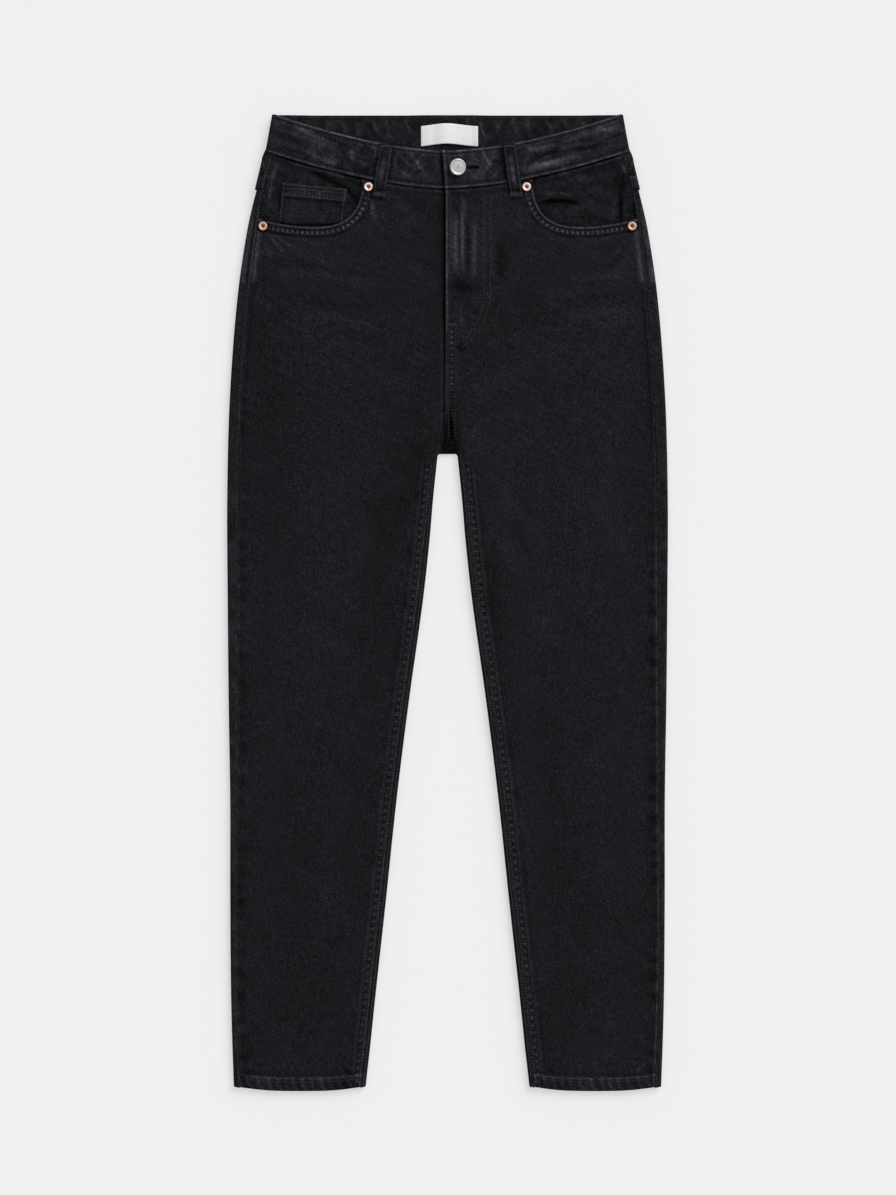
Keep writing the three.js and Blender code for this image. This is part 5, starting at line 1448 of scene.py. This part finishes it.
def sew_band():
    """Rows along the waistband's edges and down its end, and the close stitches round its buttonhole."""
    for side, end in ((-1, 4.0), (1, -3.4)):
        for from_top in (2.4, 37.0):
            fold_y, top_edge = band_fold(from_top / BAND_DEEP)
            x = np.linspace(end, top_edge, 200)
            y = band_y(from_top / BAND_DEEP, x / top_edge)
            level = band_skin(side, side * x, fold_y) + strokes(side * x, y, BAND_CREASES)[0] - 0.05
            stitches("stitching_waistband", stack(side * x, y, level))
    v = np.linspace(0.1, 0.9, 30)
    level = band_skin(1, 0 * v, band_fold(v)[0])
    stitches("stitching_waistband", stack(band_end(v) + 3.2, band_y(v, 0), level))
    x = np.linspace(-168, 168, 300)
    for row, level in ((505.0, BAND - 0.15), (470.5, BAND)):
        floor = floor_lift(x, row + 0 * x)
        stitches("stitching_waistband", stack(x, row, floor + level))
        on_floor("stitching_waistband", x, row, floor + 0.15)
    angle = np.linspace(0, 2 * np.pi, 61)
    hole_x = 22.1 + 1.7 * np.sign(np.cos(angle))
    rim_x, reach = hole_x + 10.0 * np.cos(angle), hole_x + 11.9 * np.cos(angle)
    level = band_skin(1, rim_x, BAND_Y + 0 * angle) + 0.05
    rim = stack(rim_x, BUTTON_Y + 2.6 * np.sin(angle), level)
    add_threads("stitching_waistband", rim, stack(reach, BUTTON_Y + 4.6 * np.sin(angle), level), 0.34)


def sew_loops():
    """Two rows and two bar tacks on each front loop, and on the underside of the back loop."""
    v, away = np.linspace(0.04, 0.96, 60), 4.6
    for side in (-1, 1):
        for lean in (-away, away):
            x, y = front_loop_plan(v, lean)
            stitches("stitching_loops", stack(side * x, y, front_loop_top(side, x, y) + 0.25), 3.0, 2.3)
        top_z = band_skin(side, side * LOOP_TOP_X, BAND_Y)
        foot_z = front_skin(side, side * LOOP_FOOT_X, LOOP_FOOT_Y)
        ends = ((LOOP_TOP_X, LOOP_TOP_Y - 2.4, top_z), (LOOP_FOOT_X - 0.4, LOOP_FOOT_Y + 2.6, foot_z))
        for x, y, level in ends:
            z = float(level) + LOOP_GAP + LOOP_THICK + 0.3
            tack("stitching_loops", (side * x - away, y, z), (side * x + away, y, z), 15, 2.2)
    y = np.linspace(503, 449, 40)
    for x in (-away, away):
        stitches("stitching_loops", stack(x, y, 0.08), 3.0, 2.3, facing=-1)
    for y in (503.5, 449.0):
        tack("stitching_loops", (-away, y, 0.1), (away, y, 0.1), 15, 2.2, facing=-1)


def sew_coin_pocket():
    """Rows along the coin pocket's mouth and under its hem band, and one down each side."""
    u, v = np.linspace(0.04, 0.96, 60), np.linspace(0.03, 0.97, 30)
    for below, share in ((2.0, 0.05), (5.2, 0.13), (9.8, 0.24), (12.6, 0.3)):
        x, y = coin_plan(u, share)[0], lerp(COIN_HIGH, COIN_LOW, u) - below
        stitches("stitching_pockets", stack(-x, y, coin_level(x, y) + 0.35), 3.0, 2.3)
    for u in (0.03, 0.97):
        x, y = coin_plan(u, v)
        stitches("stitching_pockets", stack(-x, y, coin_level(x, y) + 0.1), 3.0, 2.3)


def sew_back():
    """Double rows on the underside: above the yoke seams, round the back pockets and down the middle seam."""
    x, u, level = np.linspace(2, 192, 200), np.linspace(0.02, 0.98, 100), 0.12
    for side in (-1, 1):
        for away in (2.0, 7.2):
            y = yoke_seam(x) + away
            on_floor("stitching_back", side * x, y, floor_lift(x, y))
        for inset in (2.0, 8.0):
            left, far = POCKET_IN + inset, POCKET_OUT - inset
            path = np.array([
                (left, POCKET_TOP - 4), (left + 4, POCKET_LOW + inset * 0.4),
                ((left + far) / 2, POCKET_LOW - POCKET_POINT + inset * 1.1),
                (far - 4, POCKET_LOW + 2 + inset * 0.4), (far, POCKET_TOP + 1)])
            run = run_along(path)
            at = np.linspace(0, run[-1], 240)
            across, y = (np.interp(at, run, path[:, k]) for k in (0, 1))
            on_floor("stitching_back", side * across, y, level)
        for below in (15.0, 17.6):
            across = side * lerp(POCKET_IN + 1, POCKET_OUT - 1, u)
            on_floor("stitching_back", across, lerp(POCKET_TOP - 3, POCKET_TOP + 3, u) - below, level)
        for across, y in ((POCKET_IN + 3.5, POCKET_TOP - 3), (POCKET_OUT - 3.5, POCKET_TOP + 2.4)):
            tack("stitching_back", (side * across, y, 0.1), (side * across, y - 9, 0.1), 14, 2.2, facing=-1)
    y = np.linspace(398, 176, 160)
    for across in (2.2 + 0 * y, 8.0 + 0 * y):
        on_floor("stitching_back", across, y, floor_lift(across, y))


def sew_zip():
    """The zip's coil: close stiff turns of nylon down the middle of its tape."""
    y = np.linspace(424, 290, 116)
    x, half, rise = 18.0 + 0 * y, 2.4, 0.3
    z = plain_skin(x, y) - DENIM + ZIP_THICK + 0.12
    add_threads("zip_coil", stack(x - half, y - rise, z), stack(x + half, y + rise, z), 0.4)


def sew_label():
    """A short row across each end of the label."""
    y = np.linspace(494.6, 476.6, 12)
    for x in (-25.6, 29.7):
        arch = label_arch(x)
        stitches("stitching_label", stack(x, y + LABEL_RISE * arch, label_top(x, y) + arch), 2.4, 1.8, 0.26)


# Finishes


class Graph:
    """Short names for making and joining shader nodes in one tree."""

    def __init__(self, tree):
        self.tree = tree

    def node(self, kind, values=None, **settings):
        made = self.tree.nodes.new(kind)
        for key, value in settings.items():
            setattr(made, key, value)
        for key, value in (values or {}).items():
            if isinstance(value, bpy.types.NodeSocket):
                self.tree.links.new(value, made.inputs[key])
            else:
                made.inputs[key].default_value = value
        return made

    def join(self, sources, targets):
        """Links each named source to the input of the same name."""
        for key, source in sources.items():
            self.tree.links.new(source, targets[key])

    def math(self, operation, *values):
        """One number worked out of two or more, from left to right."""
        total = values[0]
        for value in values[1:]:
            total = self.node("ShaderNodeMath", {0: total, 1: value}, operation=operation).outputs[0]
        return total

    def sum(self, *values):
        return self.math("ADD", *values)

    def product(self, *values):
        return self.math("MULTIPLY", *values)

    def noise(self, at, scale, detail, roughness=0.5):
        values = {"Vector": at, "Scale": scale, "Detail": detail, "Roughness": roughness}
        return self.node("ShaderNodeTexNoise", values).outputs["Fac"]

    def noise_around(self, at, scale, detail, roughness=0.5):
        """Noise that goes as far under nought as over it."""
        return self.math("SUBTRACT", self.noise(at, scale, detail, roughness), 0.5)

    def mapping(self, at, **values):
        return self.node("ShaderNodeMapping", {"Vector": at, **values}).outputs[0]

    def blend(self, a, b, share):
        return self.node("ShaderNodeMix", {0: share, 6: a, 7: b}, data_type="RGBA").outputs[2]


FLOAT, COLOUR = "NodeSocketFloat", "NodeSocketColor"


def new_group(name, inputs, *outputs):
    """A node group with the given inputs, its graph, and the sockets that feed it and that it feeds."""
    group = bpy.data.node_groups.new(name, "ShaderNodeTree")
    for key, value in inputs.items():
        kind = COLOUR if isinstance(value, tuple) else FLOAT
        group.interface.new_socket(key, in_out="INPUT", socket_type=kind).default_value = value
    for key in outputs:
        group.interface.new_socket(key, in_out="OUTPUT", socket_type=COLOUR if key == "Colour" else FLOAT)
    graph = Graph(group)
    return group, graph, graph.node("NodeGroupInput").outputs, graph.node("NodeGroupOutput").inputs


def washed_cloth_group():
    """Colour and height of washed woven cloth.

    Tone doubles or halves the colour for each whole step. Speckle is the fine grain of the yarns, slubs are
    short upright streaks, patches are the broad unevenness of the wash and mottle a closer one. Streaks are
    slanting drag marks, strongest over the hips, and lint is sparse pale fibres.
    The height is a slanting twill rib with the same grain.
    """
    group, g, given, out = new_group("washed_cloth", {
        "Colour": (0.01, 0.01, 0.012, 1), "Pale": (0.2, 0.19, 0.22, 1), "Tone": 0.0, "Speckle": 1.0,
        "Slubs": 1.0, "Patches": 1.0, "Mottle": 0.3, "Streaks": 0.0, "Lint": 1.0},
        "Colour", "Height", "Roughness")
    at = g.node("ShaderNodeTexCoord").outputs["Object"]
    fine = g.noise(at, 760, 2, 0.75)
    slub = g.noise(g.mapping(at, Scale=(900, 150, 900)), 1, 1)
    weft = g.noise_around(g.mapping(at, Scale=(240, 1000, 900)), 1, 1)
    broad = g.noise_around(at, 14, 2, 0.6)
    uneven = g.noise_around(at, 105, 2, 0.65)
    leaning = g.mapping(at, Rotation=(0, 0, math.radians(28)))
    streak = g.noise_around(g.mapping(leaning, Scale=(55, 400, 60)), 1, 2)
    height = g.node("ShaderNodeSeparateXYZ", {0: at}).outputs["Y"]
    rising = {"Value": height, "From Min": 0.02, "From Max": 0.24, "To Min": 0.25}
    hips = g.node("ShaderNodeMapRange", rising).outputs[0]
    flat = g.node("ShaderNodeUVMap", uv_map="cloth").outputs[0]
    slant = g.mapping(flat, Rotation=(0, 0, math.radians(-27)))
    ribs = {"Vector": slant, "Scale": 330, "Distortion": 1.2, "Detail": 1, "Detail Scale": 1.5}
    twill = g.node("ShaderNodeTexWave", ribs, bands_direction="X").outputs["Fac"]
    yarn = g.sum(g.product(g.math("SUBTRACT", slub, 0.5), 1.7), g.product(weft, 0.7))
    tone = g.sum(
        given["Tone"],
        g.product(g.math("SUBTRACT", fine, 0.5), 6.0, given["Speckle"]),
        g.product(yarn, given["Slubs"]),
        g.product(broad, 0.5, given["Patches"]),
        g.product(g.math("SUBTRACT", twill, 0.5), 0.35),
        g.product(uneven, 2.4, given["Mottle"]),
        g.product(streak, hips, given["Streaks"]))
    scaled = g.node("ShaderNodeVectorMath", {0: given["Colour"]}, operation="SCALE")
    g.join({"Scale": g.math("POWER", 2.0, tone)}, scaled.inputs)
    specks = g.math("MAXIMUM", g.math("SUBTRACT", g.noise(at, 520, 0), 0.76), 0.0)
    colour = g.blend(scaled.outputs[0], given["Pale"], g.product(specks, 1.1, given["Lint"]))
    grain = g.sum(g.product(twill, 0.5), g.product(fine, 0.8), g.product(slub, 0.5))
    g.join({"Colour": colour, "Height": grain, "Roughness": g.sum(0.82, g.product(fine, 0.2))}, out)
    return group


def bead_row_group():
    """Tone of the pale beads along a double seam: one bead for each whole count, as strong as given."""
    group, g, given, out = new_group("bead_row", {"Strength": 0.0, "Count": 0.0}, "Tone")
    wave = g.math("COSINE", g.product(given["Count"], 2 * math.pi), 0.0)
    bead = g.math("POWER", g.sum(g.product(wave, 0.5), 0.5), 1.4)
    g.join({"Tone": g.product(bead, given["Strength"])}, out)
    return group


def worked_metal_group():
    """Colour, roughness and height of tumbled metal: fine turned scratches, soft clouding and small dents.

    A tone of -1 turns it all dull, as in the pit of a rivet.
    """
    group, g, given, out = new_group("worked_metal", {
        "Colour": (0.6, 0.6, 0.6, 1), "Dull": (0.3, 0.3, 0.3, 1), "Roughness": 0.35, "Clouding": 0.5,
        "Tone": 0.0}, "Colour", "Roughness", "Height")
    at = g.node("ShaderNodeTexCoord").outputs["Object"]
    cloud = g.noise(at, 420, 3, 0.6)
    scratch = g.noise(g.mapping(at, Scale=(5200, 700, 2500), Rotation=(0, 0, 0.5)), 1, 2)
    dull = g.math("SUBTRACT", g.product(cloud, scratch, given["Clouding"], 2.0), given["Tone"])
    colour = g.blend(given["Colour"], given["Dull"], g.node("ShaderNodeClamp", {0: dull}).outputs[0])
    rough = g.sum(given["Roughness"], g.product(g.math("SUBTRACT", scratch, 0.5), 0.3))
    g.join({"Colour": colour, "Roughness": rough, "Height": g.sum(cloud, scratch)}, out)
    return group


CLOTH, BEADS, METAL = washed_cloth_group(), bead_row_group(), worked_metal_group()


def finish(name, group, values, bump, shader_values, marks=("tone",)):
    """Material whose colour, roughness and bump come from a group, with fixed values set on the shader.

    The group's tone is read from the piece, and where it has double seams their beads are added.
    """
    material = bpy.data.materials.new(name)
    material.use_nodes = True
    material.node_tree.nodes.clear()
    g = Graph(material.node_tree)
    effect = g.node("ShaderNodeGroup", values, node_tree=group)
    read = {key: g.node("ShaderNodeAttribute", attribute_name=key).outputs["Fac"] for key in marks}
    if "beads" in read:
        row = g.node("ShaderNodeGroup", {"Strength": read["beads"], "Count": read["count"]}, node_tree=BEADS)
        read["tone"] = g.sum(read["tone"], row.outputs["Tone"])
    if read:
        g.join({"Tone": read["tone"]}, effect.inputs)
    shader = g.node("ShaderNodeBsdfPrincipled", shader_values)
    strength, distance = bump
    raised = {"Strength": strength, "Distance": distance, "Height": effect.outputs["Height"]}
    relief = g.node("ShaderNodeBump", raised)
    g.join({"Base Color": effect.outputs["Colour"], "Roughness": effect.outputs["Roughness"],
            "Normal": relief.outputs[0]}, shader.inputs)
    g.join({"Surface": shader.outputs[0]}, g.node("ShaderNodeOutputMaterial").inputs)
    return material


SEAMED = ("tone", "beads", "count")
BLACK_DENIM, PALE_FIBRE = (0.0106, 0.0101, 0.0124, 1), (0.10, 0.098, 0.11, 1)
FINISHES = {
    "denim": finish("washed_black_denim", CLOTH, {
        "Colour": BLACK_DENIM, "Pale": PALE_FIBRE, "Mottle": 0.2, "Streaks": 1.5},
        (0.5, 0.0004), {"Specular IOR Level": 0.03}, SEAMED),
    "worn_denim": finish("creased_black_denim", CLOTH, {
        "Colour": BLACK_DENIM, "Pale": PALE_FIBRE, "Mottle": 1.3, "Streaks": 0.8},
        (0.5, 0.0004), {"Specular IOR Level": 0.03}, SEAMED),
    "thread": finish("black_thread", CLOTH, {
        "Colour": (0.029, 0.028, 0.033, 1), "Pale": PALE_FIBRE, "Speckle": 0.6, "Slubs": 0.4, "Patches": 1.4,
        "Lint": 0.4}, (0.4, 0.0002), {"Specular IOR Level": 0.3}, ()),
    "zip_tape": finish("zip_tape", CLOTH, {
        "Colour": (0.009, 0.009, 0.011, 1), "Pale": (0.08, 0.08, 0.09, 1), "Speckle": 0.5, "Slubs": 0.7,
        "Lint": 0.2}, (0.5, 0.0003), {"Specular IOR Level": 0.2}, ()),
    "satin": finish("white_satin", CLOTH, {
        "Colour": (0.72, 0.726, 0.724, 1), "Pale": (0.9, 0.9, 0.9, 1), "Speckle": 0.05, "Slubs": 0.08,
        "Patches": 0.04, "Mottle": 0.03, "Lint": 0.0},
        (0.15, 0.0002), {"Specular IOR Level": 0.35, "Sheen Weight": 0.1}),
    "label_thread": finish("white_thread", CLOTH, {
        "Colour": (0.62, 0.62, 0.62, 1), "Pale": (0.8, 0.8, 0.8, 1), "Speckle": 0.1, "Slubs": 0.1,
        "Patches": 0.1, "Lint": 0.0}, (0.2, 0.0002), {"Specular IOR Level": 0.3}, ()),
    "steel": finish("brushed_steel", METAL, {
        "Colour": (0.6, 0.62, 0.605, 1), "Dull": (0.42, 0.43, 0.425, 1), "Roughness": 0.42, "Clouding": 0.6},
        (0.25, 0.0001), {"Metallic": 0.85}),
    "copper_waist": finish("rubbed_copper", METAL, {
        "Colour": (0.99, 0.80, 0.71, 1), "Dull": (0.17, 0.06, 0.03, 1), "Roughness": 0.5, "Clouding": 0.25},
        (0.3, 0.0002), {"Metallic": 0.8}),
    "copper_side": finish("aged_copper", METAL, {
        "Colour": (0.80, 0.54, 0.41, 1), "Dull": (0.17, 0.05, 0.02, 1), "Roughness": 0.6, "Clouding": 0.35},
        (0.3, 0.0002), {"Metallic": 0.8}),
}


def dress(made, material, slot, *nodes):
    """Gives a piece its finish and its body, and hides the solids that it stands for; its slot is not used.
    """
    made.data.materials.clear()
    made.data.materials.append(FINISHES[material])
    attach(made, "root")
    if nodes:
        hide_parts(*nodes)


# Making the garment

for half, wearer in ((-1, "right"), (1, "left")):
    dress(front_panel(half, wearer), "denim", "denim", f"front_panel_{wearer}")
    dress(back_panel(half, wearer), "denim", "denim", f"back_panel_{wearer}")
    dress(back_yoke(half, wearer), "denim", "denim", f"back_yoke_{wearer}")
    dress(pocket_facing(half, wearer), "worn_denim", "denim", f"pocket_facing_{wearer}")
    dress(back_pocket(half, wearer), "denim", "denim", f"back_pocket_{wearer}")
    dress(front_loop(half, wearer), "worn_denim", "denim", f"belt_loop_front_{wearer}")
    dress(side_loop(half, wearer), "worn_denim", "denim", f"belt_loop_side_{wearer}")
    dress(front_band(half, wearer), "worn_denim", "denim", f"waistband_front_{wearer}")
    for spot in RIVETS:
        dress(rivet(half, wearer, spot), f"copper_{spot}", "rivet_copper", f"rivet_{spot}_{wearer}")
dress(back_band(), "worn_denim", "denim", "waistband_back")
dress(back_loop(), "worn_denim", "denim", "belt_loop_back")
dress(coin_pocket(), "worn_denim", "denim", "coin_pocket")
dress(label(), "satin", "label_satin", "waist_label")
shield_rise = 2 * (FOLD_R - DENIM) - 3 * GAP
dress(fly_strip("denim_fly_shield", -8, 40, 282, shield_rise, DENIM), "denim", "denim", "fly_shield")
dress(fly_strip("fly_zip_tape", 5, 31, 286, 2 * FOLD_R - DENIM, ZIP_THICK), "zip_tape", "zip_tape", "fly_zip")
dress(button(), "steel", "button_metal", "button")

for sew_part in (sew_fronts, sew_fly, sew_band, sew_loops, sew_coin_pocket, sew_back, sew_zip, sew_label):
    sew_part()
THREAD_LOOKS = {"stitching_label": ("label_thread", "label_satin"), "zip_coil": ("zip_tape", "zip_tape")}
for seams in THREADS:
    dress(sew(seams), *THREAD_LOOKS.get(seams, ("thread", "denim")))

# Width and length of each cut in metres, its area where it isn't a rectangle, and what the piece lies on
HALF_CUTS = {
    "denim_front": (0.228, 0.949, 0.164, "denim_back"),
    "denim_back": (0.252, 0.937, 0.191, "denim_back_pocket"),
    "denim_yoke": (0.222, 0.066, 0.011, "denim_belt_loop_side"),
    "denim_pocket_facing": (0.13, 0.118, 0.0126, "denim_back"),
    "denim_back_pocket": (0.138, 0.138, 0.0168, None),
    "denim_belt_loop_front": (0.0133, 0.058, None, "denim_waistband_front"),
    "denim_belt_loop_side": (0.0125, 0.08, None, None),
}
WHOLE_CUTS = {
    "denim_waistband_front_right": (0.234, 0.0395, None, "denim_waistband_back"),
    "denim_waistband_front_left": (0.21, 0.0395, None, "denim_waistband_front_right"),
    "denim_waistband_back": (0.345, 0.0395, None, "denim_belt_loop_back"),
    "denim_belt_loop_back": (0.0125, 0.0605, None, None),
    "denim_coin_pocket": (0.067, 0.0435, None, "denim_pocket_facing_right"),
    "denim_fly_shield": (0.048, 0.148, None, "denim_back_left"),
    "fly_zip_tape": (0.026, 0.143, None, "denim_fly_shield"),
    "satin_label": (0.0593, 0.021, None, "denim_waistband_back"),
}
cuts = dict(WHOLE_CUTS)
for stem, (*cut, below) in HALF_CUTS.items():
    for wearer in ("right", "left"):
        cuts[f"{stem}_{wearer}"] = (*cut, below and f"{below}_{wearer}")
